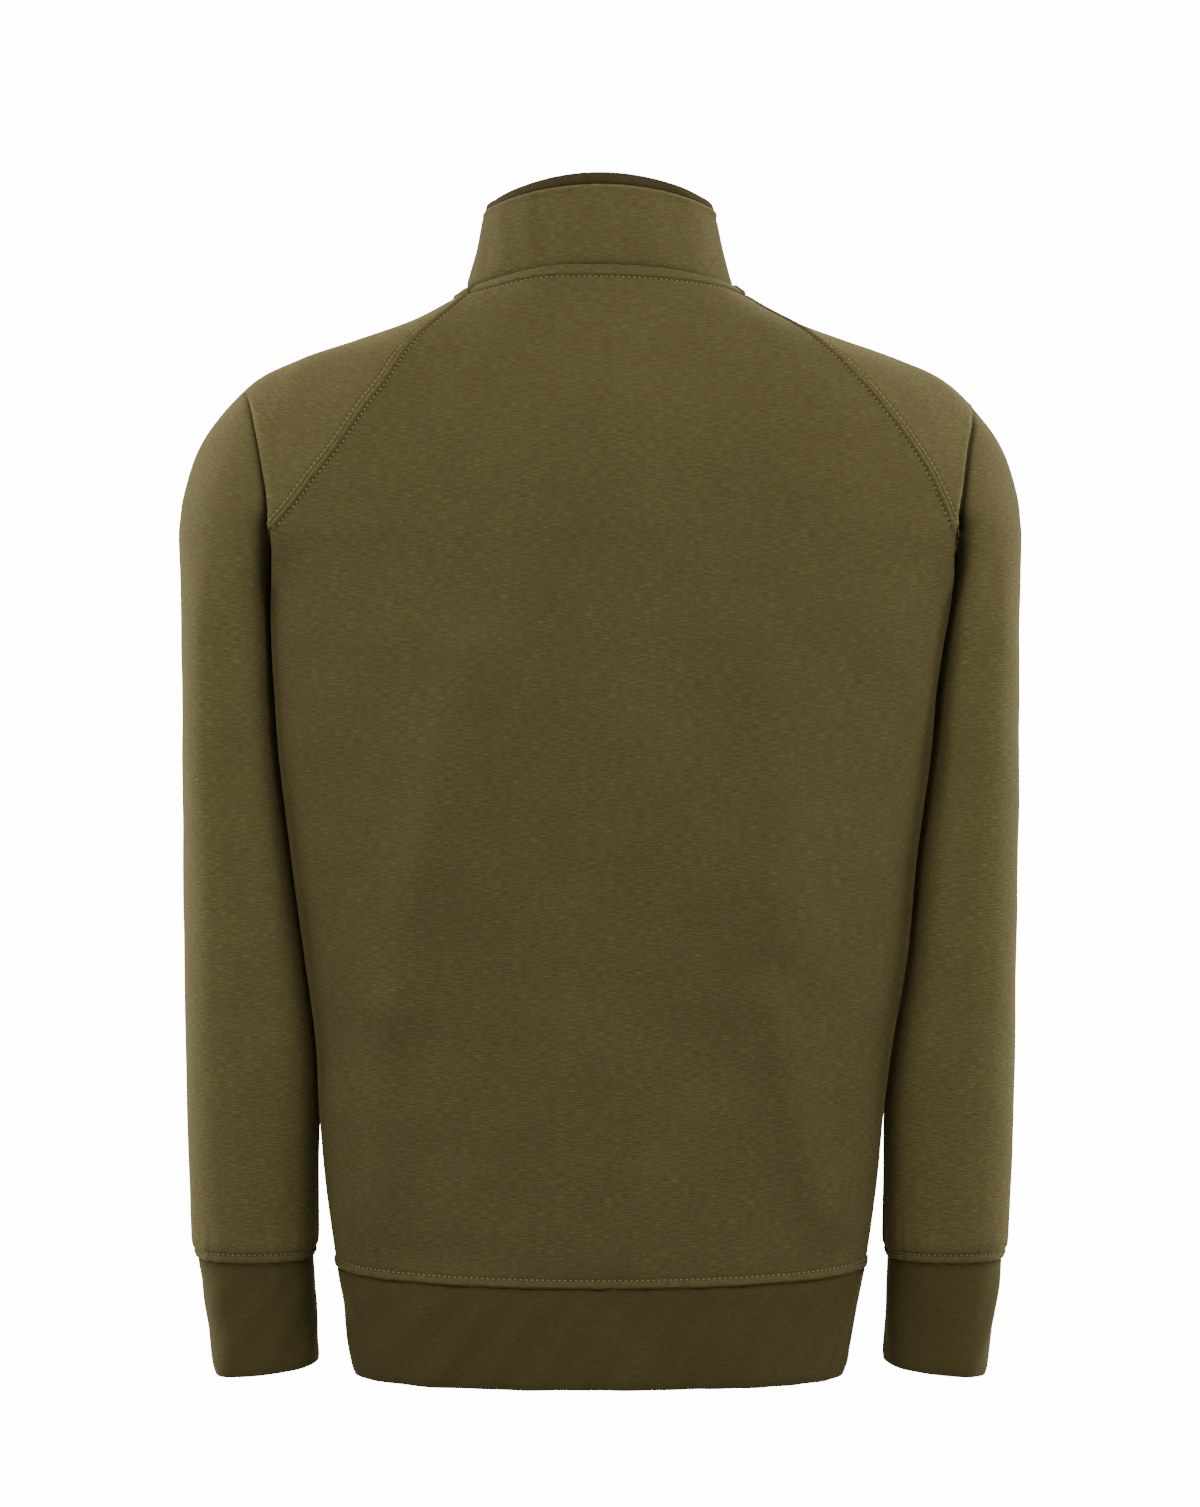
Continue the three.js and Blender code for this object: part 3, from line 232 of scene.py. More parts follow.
def hem_sag(z, angle):
    """How much lower the rows near the hem hang at the centres than at the sides."""
    share = np.clip((ARMPIT_Z - z) / (ARMPIT_Z - BODY_END_Z), 0, 1)
    return HEM_SEAM_SAG * share**4 * np.sin(angle) ** 2


def joined(z, length=1):
    """The share of the way from the yoke's form to the tube's form at a height, over the join's
    length or a share of it."""
    return ease((ARMPIT_Z - z) / (JOIN_LENGTH * length))


def raglan_angle(at, side, face):
    """A raglan seam's angle on the rings, from the shoulder line on its own side."""
    column = ("back_" if face > 0 else "front_") + ("left" if side > 0 else "right")
    return np.radians(smooth(raglan_seams, column, at))


def turned(angle, side, face):
    """An angle from the left shoulder line, turned to a side and a face."""
    if side > 0:
        return face * angle
    return np.pi - angle if face > 0 else angle - np.pi


# Distances from an edge at which columns and rows stand close, to carry the seams' relief.
EDGE_STEPS = np.array([0, 0.45, 0.9, 1.4, 1.9, 2.4, 2.9, 3.5, 4.2, 5.0, 6.2, 8.0]) * 0.001
YOKE_ROWS = np.concatenate([np.linspace(0, 0.064, 17), np.linspace(0.075, 0.57, 34),
                            np.linspace(0.578, 0.62, 8), np.linspace(0.635, 1, 26)])
WALL_PLACES = np.concatenate([[0, 0.012, 0.03, 0.055], np.linspace(0.1, 1, 13)])[:-1]


def level_rows(end_z, step):
    """Heights from the armpits to a seam, a step apart, and close together near the seam."""
    steps = EDGE_STEPS[::-1]
    last = end_z + steps[0]
    count = int(round((ARMPIT_Z - last) / step))
    return np.concatenate([np.linspace(ARMPIT_Z, last, count + 1)[:-1], end_z + steps])


def lengths(curve, first, last):
    """Finely spaced angles along a curve, and the curve's length up to each."""
    fine = np.linspace(first, last, 900)
    reach = np.linalg.norm(np.diff(curve(fine), axis=0), axis=1)
    return fine, np.concatenate([[0], np.cumsum(reach)])


def spread(curve, first, last, columns, folds=()):
    """Angles that put points along a curve: close together at both ends and across its folds, whose
    places are shares of the curve's length, and evenly between."""
    fine, along = lengths(curve, first, last)
    inside = np.linspace(EDGE_STEPS[-1], along[-1] - EDGE_STEPS[-1], 900)
    crowd = np.ones(len(inside))
    for fold in folds:
        crowd += FOLD_CROWD * bell(inside, fold * along[-1], FOLD_REACH)
    crowd = np.concatenate([[0], np.cumsum(crowd[1:] + crowd[:-1])])
    middle = np.interp(np.linspace(0, crowd[-1], columns), crowd, inside)[1:-1]
    places = np.concatenate([EDGE_STEPS, middle, along[-1] - EDGE_STEPS[::-1]])
    return np.interp(places, along, fine)


def seam_limits(piece, at):
    """A piece's first and last angle on a ring of the yoke, half a seam gap inside each raglan
    seam, measured square to the seam."""
    limits = list(piece["yoke_limits"](at))
    trimmed = []
    for end in (0, 1):
        limit = limits[end]
        if piece["walls"][end]:
            step = 1e-3 * np.sign(limits[1 - end] - limit)
            here = yoke(at, limit)
            along_row = yoke(at, limit + step) - here
            along_seam = yoke(at - 0.01, piece["yoke_limits"](at - 0.01)[end]) - here
            cross = np.linalg.norm(np.cross(along_row, along_seam))
            slant = cross / (np.linalg.norm(along_row) * np.linalg.norm(along_seam))
            limit = limit + step * SEAM_GAP / 2 / slant / np.linalg.norm(along_row)
        trimmed.append(limit)
    return trimmed


def fold_shares(piece, at):
    """Where the two armhole folds cross a ring of the yoke, as shares of the piece's row. Above the
    folds' upper end they stay at the shares they have there."""
    if not piece["side"]:
        return ()
    side, at = piece["side"], max(at, FOLD_START[piece["side"]])
    square = smooth(yoke_rings, "square", at)
    share = np.minimum(fold_column("x", at, side) / smooth(yoke_rings, "side_x", at), 0.99)
    tilt = np.arctan2((1 - share**square) ** (1 / square), share)
    fine, along = lengths(lambda a: yoke(at, a), *seam_limits(piece, at))
    outer = 0 if side > 0 else np.pi
    turns = np.array([-tilt, tilt]) + abs(fine[0] - outer)
    return np.interp(turns, np.abs(fine - fine[0]), along) / along[-1]


def side_wall(piece, end, corner, corner_angle):
    """The wall from the side seam up to its corner under the armhole, one row for each level. It is
    straight at the armhole, whose edge sinks in a quarter of an ellipse, and becomes the tube's."""
    level = piece["levels"][:, None]
    share = WALL_PLACES[None, :]
    sink = ARMHOLE_DROP * np.sqrt(1 - share**2) * (1 - ease((ARMPIT_Z - level) / (4 * ARMHOLE_DROP)))
    angle = mix(piece["seam_angles"][end], corner_angle, share)
    z = level - sink - piece["sag"](level, angle)
    x = corner[0] + piece["outward"][end] * (1 - share) * SEAM_GAP / 2 + 0 * z
    y = mix(UNDERARM_Y, corner[1], share) + 0 * z
    straight = np.stack([x, y, z], -1)
    length = mix(1, CORNER_JOIN, share) if piece["side"] else 1
    return mix(straight, piece["tube"](z, angle), joined(z, length)[..., None])


def panel_grid(piece):
    """The whole grid of a panel. Rows run from the neck seam down over the yoke's rings and then
    over the levels. Columns run from one edge to the other, with the side walls' columns outside
    them, which are cloth only below the armpits."""
    yoke_rows, levels, columns = [], piece["levels"], piece["columns"]
    for at in YOKE_ROWS:
        angles = spread(lambda a: yoke(at, a), *seam_limits(piece, at), columns, fold_shares(piece, at))
        yoke_rows.append(yoke(at, angles))
    armpit_row = yoke(1, angles)
    folds = fold_shares(piece, 1)
    reach = np.cumsum(np.linalg.norm(np.diff(armpit_row, axis=0, prepend=armpit_row[:1]), axis=1))
    reach = np.minimum(reach, reach[-1] - reach)
    length = mix(CORNER_JOIN, 1, ease(reach / CORNER_REACH)) if piece["side"] else 1 + 0 * reach
    tube_rows = []
    for level in levels:
        limits = piece["tube_limits"](level)
        angles = spread(lambda a: piece["tube"](level, a), *limits, columns, folds)
        z = level - piece["sag"](level, angles)
        upper = armpit_row.copy()
        upper[:, 2] = z
        tube_rows.append(mix(upper, piece["tube"](z, angles), joined(level, length)[:, None]))
    main = np.array(yoke_rows[:-1] + tube_rows)
    top = len(yoke_rows) - 1
    parts = [main]
    for end in (0, 1):
        if piece["walls"][end]:
            corner = armpit_row[-end]
            wall = side_wall(piece, end, corner, piece["tube_limits"](ARMPIT_Z)[end])
            above = np.arange(top, 0, -1)[:, None, None] * (wall[0] - wall[1])[None] + wall[0]
            wall = np.concatenate([above, wall])
            parts = [wall] + parts if end == 0 else parts + [wall[:, ::-1]]
    points = np.concatenate(parts, axis=1)
    before = len(WALL_PLACES) if piece["walls"][0] else 0
    after = len(WALL_PLACES) if piece["walls"][1] else 0
    present = np.ones((points.shape[0] - 1, points.shape[1] - 1), bool)
    present[:top, :before] = False
    if after:
        present[:top, -after:] = False
    return points, present, top, before, after


def grid_normals(points, turn):
    """Unit normals of a grid: the direction along the rows crossed with that down the columns."""
    along = np.gradient(points, axis=1)
    down = np.gradient(points, axis=0)
    normal = np.cross(along, down) * turn
    return normal / np.maximum(np.linalg.norm(normal, axis=-1, keepdims=True), 1e-12)


def panel_normals(points, turn, top, before, after):
    """Normals of a panel's grid, with the yoke and the part below the armpits taken by themselves
    and averaged where they meet."""
    last = points.shape[1] - after
    normals = grid_normals(points, turn)
    upper = grid_normals(points[: top + 1, before:last], turn)
    lower = grid_normals(points[top:], turn)
    normals[:top, before:last] = upper[:-1]
    normals[top:] = lower
    meet = normals[top, before:last] + upper[-1]
    normals[top, before:last] = meet / np.linalg.norm(meet, axis=-1, keepdims=True)
    return normals


def distance_to(points, line):
    """Each point's distance to the nearest point of a finely drawn line."""
    gaps = np.linalg.norm(points[..., None, :] - line, axis=-1)
    return gaps.min(axis=-1)


def raglan_line(side, face):
    """A raglan seam, drawn every half millimetre or so."""
    at = np.linspace(0, 1, 500)
    return yoke(at, turned(raglan_angle(at, side, face), side, face))


# What a raglan seam shows across it, by the distance towards the body: the ridge of the turned allowance, a
# thin second ridge on the sleeve, the fine line between them and a stitched groove on each side. Each mark is
# also painted: a painted highlight on each ridge and painted shade on the fine line and in each groove.
seam_marks = {
    "middle": [0.0006, -0.0022, -0.0012, 0.0031, -0.0036],
    "width": [0.0013, 0.0007, 0.0005, 0.0008, 0.0007],
    "height": [0.0013, 0.0005, -0.0005, -0.0007, -0.0004],
    "painted_light_and_shade": [0.55, 0.5, -0.8, -0.9, -0.6],
}
SEAM_STITCHES = seam_marks["middle"][3]     # the rows of stitches' distance from their seams
SEAM_LOW_Z = -0.170         # the marks have faded out down here, under the armpits


def pressed_seam(off):
    """Height of the cloth across a raglan seam, and its painted highlight and shade: a sum of the marks'
    bells.
    """
    marks = [bell(off, *mark) for mark in zip(seam_marks["middle"], seam_marks["width"])]
    height = sum(height * mark for height, mark in zip(seam_marks["height"], marks))
    return height, sum(painted_light_and_shade * mark for painted_light_and_shade, mark in zip(seam_marks["painted_light_and_shade"], marks))


NECK_STITCHES = 0.048       # the row of stitches under the neck band, as a ring of the yoke
NECK_BAND_RISE = 0.0014
EDGE_STITCHES = 0.0052      # the stitches' distance from the hem and cuff seams
EDGE_FOLD_RISE = 0.0012


def neck_band(at):
    """Height of the band stitched down under the neck seam: flat and proud, with a rounded upper
    edge, and a groove along its lower edge."""
    band = NECK_BAND_RISE * (1 - ease((at - 0.0415) / 0.006)) * mix(0.45, 1, ease(at / 0.006))
    return band - 0.0006 * bell(at, NECK_STITCHES, 0.0035)


def turned_edge(height):
    """Height of the cloth over a hem or cuff seam, by the distance above it: a rounded fold 5 mm
    high that the seam allowance fills, under a stitched groove."""
    fold = EDGE_FOLD_RISE * ease((EDGE_STITCHES - height) / 0.0014) * mix(0.25, 1, ease(height / 0.0013))
    return fold - 0.0004 * bell(height, EDGE_STITCHES, 0.0007)


# A panel's faint swells: their lengths and heights, how many there are of each, and how much their
# directions lean up or down.
panel_swells = {
    "length": [0.16, 0.11, 0.075, 0.048, 0.03],
    "height": [0.0007, 0.0006, 0.0004, 0.00022, 0.0001],
    "times": 2,
    "lean": 0.55,
}
PANEL_SEED = 5


def swells(points, table, seed):
    """Faint dents and swells of worn cloth: a sum of slow waves with set directions and phases."""
    draws = np.random.default_rng(seed)
    lift = 0 * points[..., 0]
    sizes = zip(table["length"], table["height"])
    for length, height in (size for size in sizes for _ in range(table["times"])):
        direction = draws.normal(size=3) * (1, 1, table["lean"])
        direction /= np.linalg.norm(direction)
        phase = draws.uniform(0, 2 * np.pi)
        lift = lift + height * np.sin(2 * np.pi * (points @ direction) / length + phase)
    return lift


def gathers(turn_angle, height, seed):
    """Short upright ripples where a panel is eased onto a tighter band, fading with height."""
    waves = np.random.default_rng(seed)
    lift = 0 * turn_angle
    for count in (17, 23, 31, 41):
        lift = lift + np.sin(count * turn_angle + waves.uniform(0, 2 * np.pi)) / 4
    return 0.0007 * lift * np.exp(-np.maximum(height, 0) / 0.022)


def quad_object(name, points, quads):
    """A smooth shaded object of quads."""
    mesh = bpy.data.meshes.new(name)
    mesh.from_pydata(points.tolist(), [], quads.tolist())
    mesh.shade_smooth()
    piece = bpy.data.objects.new(name, mesh)
    bpy.context.collection.objects.link(piece)
    return piece


def cloth_object(name, points, turn, uv, present=None, thickness=CLOTH_THICK, caps=False, painted_light_and_shade=None):
    """An object of quads on a grid of points, with its faces out, its UV map in metres of cloth, the painted
    highlight and shade at each point and a wall of the cloth's thickness behind it. Caps close the ends of a
    grid whose rows go round a flat loop: each joins the two sides of the loop, row by row."""
    rows, columns = points.shape[:2]
    index = np.arange(rows * columns).reshape(rows, columns)
    corners = np.stack([index[:-1, :-1], index[:-1, 1:], index[1:, 1:], index[1:, :-1]], -1)
    quads = corners.reshape(-1, 4) if present is None else corners[present]
    if caps:
        near, far = index[: rows // 2], index[rows - rows // 2 :][::-1]
        first = np.stack([near[:-1, 0], near[1:, 0], far[1:, 0], far[:-1, 0]], -1)
        last = np.stack([near[1:, -1], near[:-1, -1], far[:-1, -1], far[1:, -1]], -1)
        quads = np.concatenate([quads, first, last])
    if turn < 0:
        quads = quads[:, ::-1]
    used, quads = np.unique(quads, return_inverse=True)
    quads = quads.reshape(-1, 4)
    piece = quad_object(name, points.reshape(-1, 3)[used], quads)
    layer = piece.data.uv_layers.new(name="cloth")
    layer.uv.foreach_set("vector", uv.reshape(-1, 2)[used][quads.ravel()].astype(np.float32).ravel())
    if painted_light_and_shade is not None:
        layer = piece.data.attributes.new("painted_light_and_shade", "FLOAT", "POINT")
        layer.data.foreach_set("value", painted_light_and_shade.ravel()[used].astype(np.float32))
    if thickness:
        wall = piece.modifiers.new("thickness", "SOLIDIFY")
        wall.thickness = thickness
        wall.offset = -1
    return piece


def cloth_uv(points, middle, upright):
    """Metres of cloth: across, along each row from its middle column, and up, by height along the
    middle column where the knit stays level, or else by the rows' distance along that column."""
    across = np.cumsum(np.linalg.norm(np.diff(points, axis=1, prepend=points[:, :1]), axis=-1), axis=1)
    across -= across[:, middle : middle + 1]
    line = points[:, middle]
    down = np.concatenate([[0], np.cumsum(np.linalg.norm(np.diff(line, axis=0), axis=1))])
    if upright:
        up = -np.interp(-points[..., 2], -line[:, 2], down) + np.maximum(points[..., 2] - line[0, 2], 0)
        return np.stack([across, up], -1)
    return np.stack([across, np.repeat(-down[:, None], points.shape[1], axis=1)], -1)


ZIP_STITCHES = 0.0062       # the stitches' distance from the fronts' edges
ZIP_EDGE_ROUND = 0.0012     # over which those edges are rounded


def front_edge(away):
    """Height of a front along its edge at the zip, by the distance from it, and its painted light: a rounded
    edge with a painted highlight and a stitched groove with painted shade."""
    height = -0.0009 * (1 - np.sqrt(1 - np.clip(1 - away / ZIP_EDGE_ROUND, 0, 1) ** 2))
    height -= 0.0004 * bell(away, ZIP_STITCHES, 0.0009)
    return height, 0.3 * bell(away, 0.0006, 0.0008) - 0.6 * bell(away, ZIP_STITCHES, 0.0009)


def swell_share(points, height):
    """How much of its swells a panel keeps at a place: none at its lower seam or beside the gap
    between body and sleeve, and less near the outline."""
    x, y, z = np.moveaxis(points, -1, 0)
    side_x = np.where(x > 0, smooth(body_rings, "left_x", z), smooth(body_rings, "right_x", z))
    beside_arm = bell(np.abs(x), side_x, 0.012) * np.exp(-((y / 0.05) ** 4))
    return ease(height / 0.02) * (1 - beside_arm) * (1 - 0.7 * bell(y, 0, 0.035))


def line_across(points, normals, reach, away):
    """The line on a panel where each row's reach, which grows along the row, comes to a distance."""
    both = np.concatenate([points, normals], -1)
    rows = zip(reach, both)
    line = np.array([[np.interp(away, along, row[:, k]) for k in range(6)] for along, row in rows])
    return line[:, :3], line[:, 3:]


def finished_panel(piece):
    """A panel's grid with its relief: seams, neck band, turned edges, gathers, swells and folds. With it come
    the painted highlight and shade at each point, which quads are cloth, and the lines that its rows of
    stitches follow."""
    points, present, top, before, after = panel_grid(piece)
    normals = panel_normals(points, piece["turn"], top, before, after)
    last = points.shape[1] - after
    near = len(EDGE_STEPS) + 3
    rise = np.zeros(points.shape[:2])
    at = np.concatenate([YOKE_ROWS, np.full(len(piece["levels"]) - 1, 2.0)])
    rise[: top + 1] += neck_band(at[: top + 1])[:, None]
    # Painted shade in the stitched groove under the neck band.
    painted_light_and_shade = -0.8 * bell(at, NECK_STITCHES, 0.0045)[:, None] + 0 * rise
    seams = []
    for end, seam in enumerate(piece["raglans"]):
        if seam is None:
            continue
        columns = slice(before, before + near) if end == 0 else slice(last - near, last)
        part = points[: top + 4, columns]
        distance = distance_to(part, raglan_line(*seam))
        above = ease((part[..., 2] - SEAM_LOW_Z) / 0.012)
        # The seam's relief, with its painted highlight on the ridges and painted shade in the grooves.
        seam_height, seam_painted_light_and_shade = pressed_seam((-1 if piece["side"] else 1) * distance)
        rise[: top + 4, columns] += seam_height * above
        painted_light_and_shade[: top + 4, columns] += seam_painted_light_and_shade * above
        inward = 1 if end == 0 else -1
        seams.append((columns, inward, distance[: top + 1, ::inward]))
    if piece["zip_edge"]:
        edge = np.cumsum(np.linalg.norm(np.diff(points[:, ::-1], axis=1, prepend=points[:, -1:]), axis=-1), 1)
        edge = edge[:, ::-1]
        edge_height, edge_painted_light_and_shade = front_edge(edge)
        rise += edge_height
        painted_light_and_shade += edge_painted_light_and_shade
    height = points[..., 2] - points[-1:, :, 2]
    rise += turned_edge(height)
    # Painted highlight on the turned fold above the hem or cuff seam, and painted shade in its stitched
    # groove.
    painted_light_and_shade += 0.35 * bell(height, 0.0025, 0.0015) - 0.7 * bell(height, EDGE_STITCHES, 0.0008)
    around = np.arctan2(points[..., 1] - piece["centre"][1], points[..., 0] - piece["centre"][0])
    rise += gathers(around, height, piece["seed"])
    rise += swell_share(points, height) * swells(points, panel_swells, PANEL_SEED)
    if piece["side"]:
        lip = fold_lip(at[: top + 1, None], points[: top + 1, :, 0], points[: top + 1, :, 1])
        rise[: top + 1] += lip
        # Painted highlight on the fold's lip and painted shade in the hollow at its foot.
        painted_light_and_shade[: top + 1] += np.clip(lip / 0.0006, -1, 1) * np.where(lip > 0, 0.7, 1.5)
    points = points + normals * rise[..., None]
    first = np.searchsorted(YOKE_ROWS, NECK_STITCHES)
    lines = [(points[first, before:last], normals[first, before:last])]
    for columns, inward, distance in seams:
        seam_rows = slice(first, top + 1)
        lines.append(line_across(points[seam_rows, columns][:, ::inward],
                                 normals[seam_rows, columns][:, ::inward], distance[first:], SEAM_STITCHES))
    if piece["zip_edge"]:
        lines.append(line_across(points[first:, ::-1], normals[first:, ::-1], edge[first:, ::-1],
                                 ZIP_STITCHES))
    upward = slice(None, -len(EDGE_STEPS) - 1, -1)
    lines.append(line_across(np.swapaxes(points[upward], 0, 1), np.swapaxes(normals[upward], 0, 1),
                             height[upward].T, EDGE_STITCHES))
    return points, painted_light_and_shade, present, lines


def bars(line, out, pitch, size, across=False):
    """Points and quads of a row of equal rounded bars a pitch apart, lying along a line, or across
    it, and half sunk in the cloth. Each is six sided, with rings on an ellipse along its length."""
    run = np.concatenate([[0], np.cumsum(np.linalg.norm(np.diff(line, axis=0), axis=1))])
    count = int(run[-1] / pitch)
    at = (np.arange(count) + 0.5) * run[-1] / count

    def along(values, places):
        return np.stack([np.interp(places, run, values[:, k]) for k in range(3)], -1)

    place, up = along(line, at), along(out, at)
    up /= np.linalg.norm(up, axis=1, keepdims=True)
    ahead = along(line, at + 0.0004) - along(line, at - 0.0004)
    ahead /= np.linalg.norm(ahead, axis=1, keepdims=True)
    aside = np.cross(up, ahead)
    if across:
        ahead, aside = aside, -ahead
    shares = np.array([-1, -0.75, 0, 0.75, 1])
    girth = np.sqrt(1 - (0.94 * shares) ** 2)
    turns = np.linspace(0, 2 * np.pi, 7)[:-1]
    u, v = (np.outer(girth, f(turns)).ravel() for f in (np.cos, np.sin))
    w = np.repeat(shares, 6)
    length, width, height = (number / 2 for number in size)
    points = (place[:, None] + ahead[:, None] * (w * length)[:, None]
              + aside[:, None] * (u * width)[:, None] + up[:, None] * (v * height)[:, None])
    ring_index = np.arange(30).reshape(5, 6)
    turned_on = np.roll(ring_index, -1, axis=1)
    sides = np.stack([ring_index[:-1], turned_on[:-1], turned_on[1:], ring_index[1:]], -1).reshape(-1, 4)
    ends = np.array([[3, 2, 1, 0], [5, 4, 3, 0], [24, 25, 26, 27], [24, 27, 28, 29]])
    quads = np.concatenate([sides, ends])
    return points.reshape(-1, 3), (quads[None] + 30 * np.arange(count)[:, None, None]).reshape(-1, 4)


def bar_object(name, rows):
    """One object of several rows of bars."""
    offsets = np.cumsum([0] + [len(points) for points, _ in rows])
    quads = [quads + offset for (_, quads), offset in zip(rows, offsets)]
    return quad_object(name, np.concatenate([points for points, _ in rows]), np.concatenate(quads))


def new_material(name):
    """A material with nodes: itself, its shader's sockets, and its nodes and links."""
    material = bpy.data.materials.new(name)
    material.use_nodes = True
    nodes, links = material.node_tree.nodes, material.node_tree.links
    return material, nodes["Principled BSDF"].inputs, nodes, links


def raise_surface(shader, nodes, links, height, strength, distance):
    """Gives the shader the bumps of a height, by their strength and depth."""
    raised = nodes.new("ShaderNodeBump")
    raised.inputs["Strength"].default_value = strength
    raised.inputs["Distance"].default_value = distance
    links.new(height, raised.inputs["Height"])
    links.new(raised.outputs["Normal"], shader["Normal"])


def mottled_material(name, dark, light, clouds, detail, roughness, grain=None):
    """A material whose colour and roughness drift between two values with one noise, and whose
    surface has the grain of a finer one, given as its scale, strength and depth."""
    material, shader, nodes, links = new_material(name)
    place = nodes.new("ShaderNodeTexCoord").outputs["Object"]

    def noise(scale, detail):
        texture = nodes.new("ShaderNodeTexNoise")
        texture.inputs["Scale"].default_value = scale
        texture.inputs["Detail"].default_value = detail
        links.new(place, texture.inputs["Vector"])
        return texture.outputs["Fac"]

    drift = noise(clouds, detail)
    shades = nodes.new("ShaderNodeMix")
    shades.data_type = "RGBA"
    shades.inputs["A"].default_value = (*dark, 1)
    shades.inputs["B"].default_value = (*light, 1)
    links.new(drift, shades.inputs["Factor"])
    links.new(shades.outputs["Result"], shader["Base Color"])
    gloss = nodes.new("ShaderNodeMapRange")
    gloss.inputs["To Min"].default_value, gloss.inputs["To Max"].default_value = roughness
    links.new(drift, gloss.inputs["Value"])
    links.new(gloss.outputs["Result"], shader["Roughness"])
    if grain:
        raise_surface(shader, nodes, links, noise(grain[0], 2), *grain[1:])
    return material, shader


# Matt spun thread, whose colour varies from stitch to stitch, with a fine twist.
THREAD_DARK = (0.180, 0.152, 0.062)
THREAD_LIGHT = (0.310, 0.268, 0.120)
THREAD, shader = mottled_material("thread", THREAD_DARK, THREAD_LIGHT, 350, 2, (0.7, 0.7),
                                  (4000, 0.5, 0.0001))
shader["Specular IOR Level"].default_value = 0.25
STITCH_PITCH = 0.0034
STITCH_SIZE = (0.0017, 0.0012, 0.0010)      # length, width and height


def stitch_object(name, lines):
    """Rows of stitches along lines on the cloth, riding on the garment."""
    piece = bar_object(name, [bars(line, out, STITCH_PITCH, STITCH_SIZE) for line, out in lines])
    piece.data.materials.append(THREAD)
    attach(piece, "garment")


WALE = 0.00125              # the knit's columns of loops
COURSE = 0.0010             # and its rows
# How far the painted light and shade attribute lightens or darkens the knit's colour.
PAINTED_LIGHT_STRENGTH = 0.42


def knit_group():
    """Shader group for the marled jersey. Fine level streaks and soft patches mix three yarn
    colours, and rows of loops with the streaks give the height."""
    group = bpy.data.node_groups.new("marled_knit", "ShaderNodeTree")
    for socket, kind in (("Cloth", "Vector"), ("Yarn", "Color"), ("Light yarn", "Color"),
                         ("Brown yarn", "Color"), ("Streak contrast", "Float"), ("Painted light and shade", "Float")):
        group.interface.new_socket(socket, in_out="INPUT", socket_type="NodeSocket" + kind)
    for socket, kind in (("Colour", "Color"), ("Roughness", "Float"), ("Height", "Float")):
        group.interface.new_socket(socket, in_out="OUTPUT", socket_type="NodeSocket" + kind)
    nodes, links = group.nodes, group.links
    source = nodes.new("NodeGroupInput")
    result = nodes.new("NodeGroupOutput")

    def noise(stretch, detail):
        scaled = nodes.new("ShaderNodeVectorMath")
        scaled.operation = "MULTIPLY"
        scaled.inputs[1].default_value = (*stretch, 1)
        links.new(source.outputs["Cloth"], scaled.inputs[0])
        texture = nodes.new("ShaderNodeTexNoise")
        texture.inputs["Scale"].default_value = 1
        texture.inputs["Detail"].default_value = detail
        links.new(scaled.outputs[0], texture.inputs["Vector"])
        return texture.outputs["Fac"]

    def ranged(value, low, high, to_low, to_high):
        step = nodes.new("ShaderNodeMapRange")
        for k, number in enumerate((low, high, to_low, to_high)):
            step.inputs[k + 1].default_value = number
        links.new(value, step.inputs[0])
        return step.outputs[0]

    def maths(operation, first, second):
        node = nodes.new("ShaderNodeMath")
        node.operation = operation
        for k, value in enumerate((first, second)):
            if isinstance(value, (int, float)):
                node.inputs[k].default_value = value
            else:
                links.new(value, node.inputs[k])
        return node.outputs[0]

    def blended(first, second, share):
        node = nodes.new("ShaderNodeMix")
        node.data_type = "RGBA"
        links.new(share, node.inputs["Factor"])
        links.new(first, node.inputs["A"])
        links.new(second, node.inputs["B"])
        return node.outputs["Result"]

    streaks = noise((170, 1700), 2)
    flecks = noise((900, 2300), 1)
    patches = noise((60, 190), 3)
    clouds = noise((9, 7), 2)
    contrast = source.outputs["Streak contrast"]
    light = maths("MULTIPLY", ranged(streaks, 0.42, 0.68, 0, 1), contrast)
    light = maths("ADD", light, ranged(clouds, 0.3, 0.7, -0.12, 0.12))
    brown = maths("MULTIPLY", ranged(patches, 0.40, 0.66, 0, 0.6), ranged(flecks, 0.35, 0.65, 0.2, 1))
    colour = blended(source.outputs["Yarn"], source.outputs["Light yarn"], light)
    colour = blended(colour, source.outputs["Brown yarn"], brown)
    # Painted highlight and painted shade: the attribute lightens the colour on ridges and edges and darkens
    # it in grooves and hollows.
    shade = nodes.new("ShaderNodeHueSaturation")
    lighter = maths("MULTIPLY", source.outputs["Painted light and shade"], PAINTED_LIGHT_STRENGTH)
    links.new(maths("ADD", lighter, 1.0), shade.inputs["Value"])
    links.new(colour, shade.inputs["Color"])
    links.new(shade.outputs["Color"], result.inputs["Colour"])
    links.new(ranged(flecks, 0.3, 0.7, 0.86, 0.98), result.inputs["Roughness"])

    split = nodes.new("ShaderNodeSeparateXYZ")
    links.new(source.outputs["Cloth"], split.inputs[0])
    wales = maths("SINE", maths("MULTIPLY", split.outputs["X"], 2 * np.pi / WALE), 0)
    courses = maths("SINE", maths("MULTIPLY", split.outputs["Y"], 2 * np.pi / COURSE), 0)
    loops = maths("MULTIPLY", maths("ADD", wales, 1.0), maths("ADD", courses, 1.6))
    height = maths("ADD", maths("MULTIPLY", loops, 0.10), maths("MULTIPLY", streaks, 0.9))
    height = maths("ADD", height, maths("MULTIPLY", patches, 0.4))
    links.new(height, result.inputs["Height"])
    return group


MARLED_KNIT = knit_group()
KNIT_DEPTH = 0.0004
NAP_TINT = (0.9, 0.72, 0.25, 1)


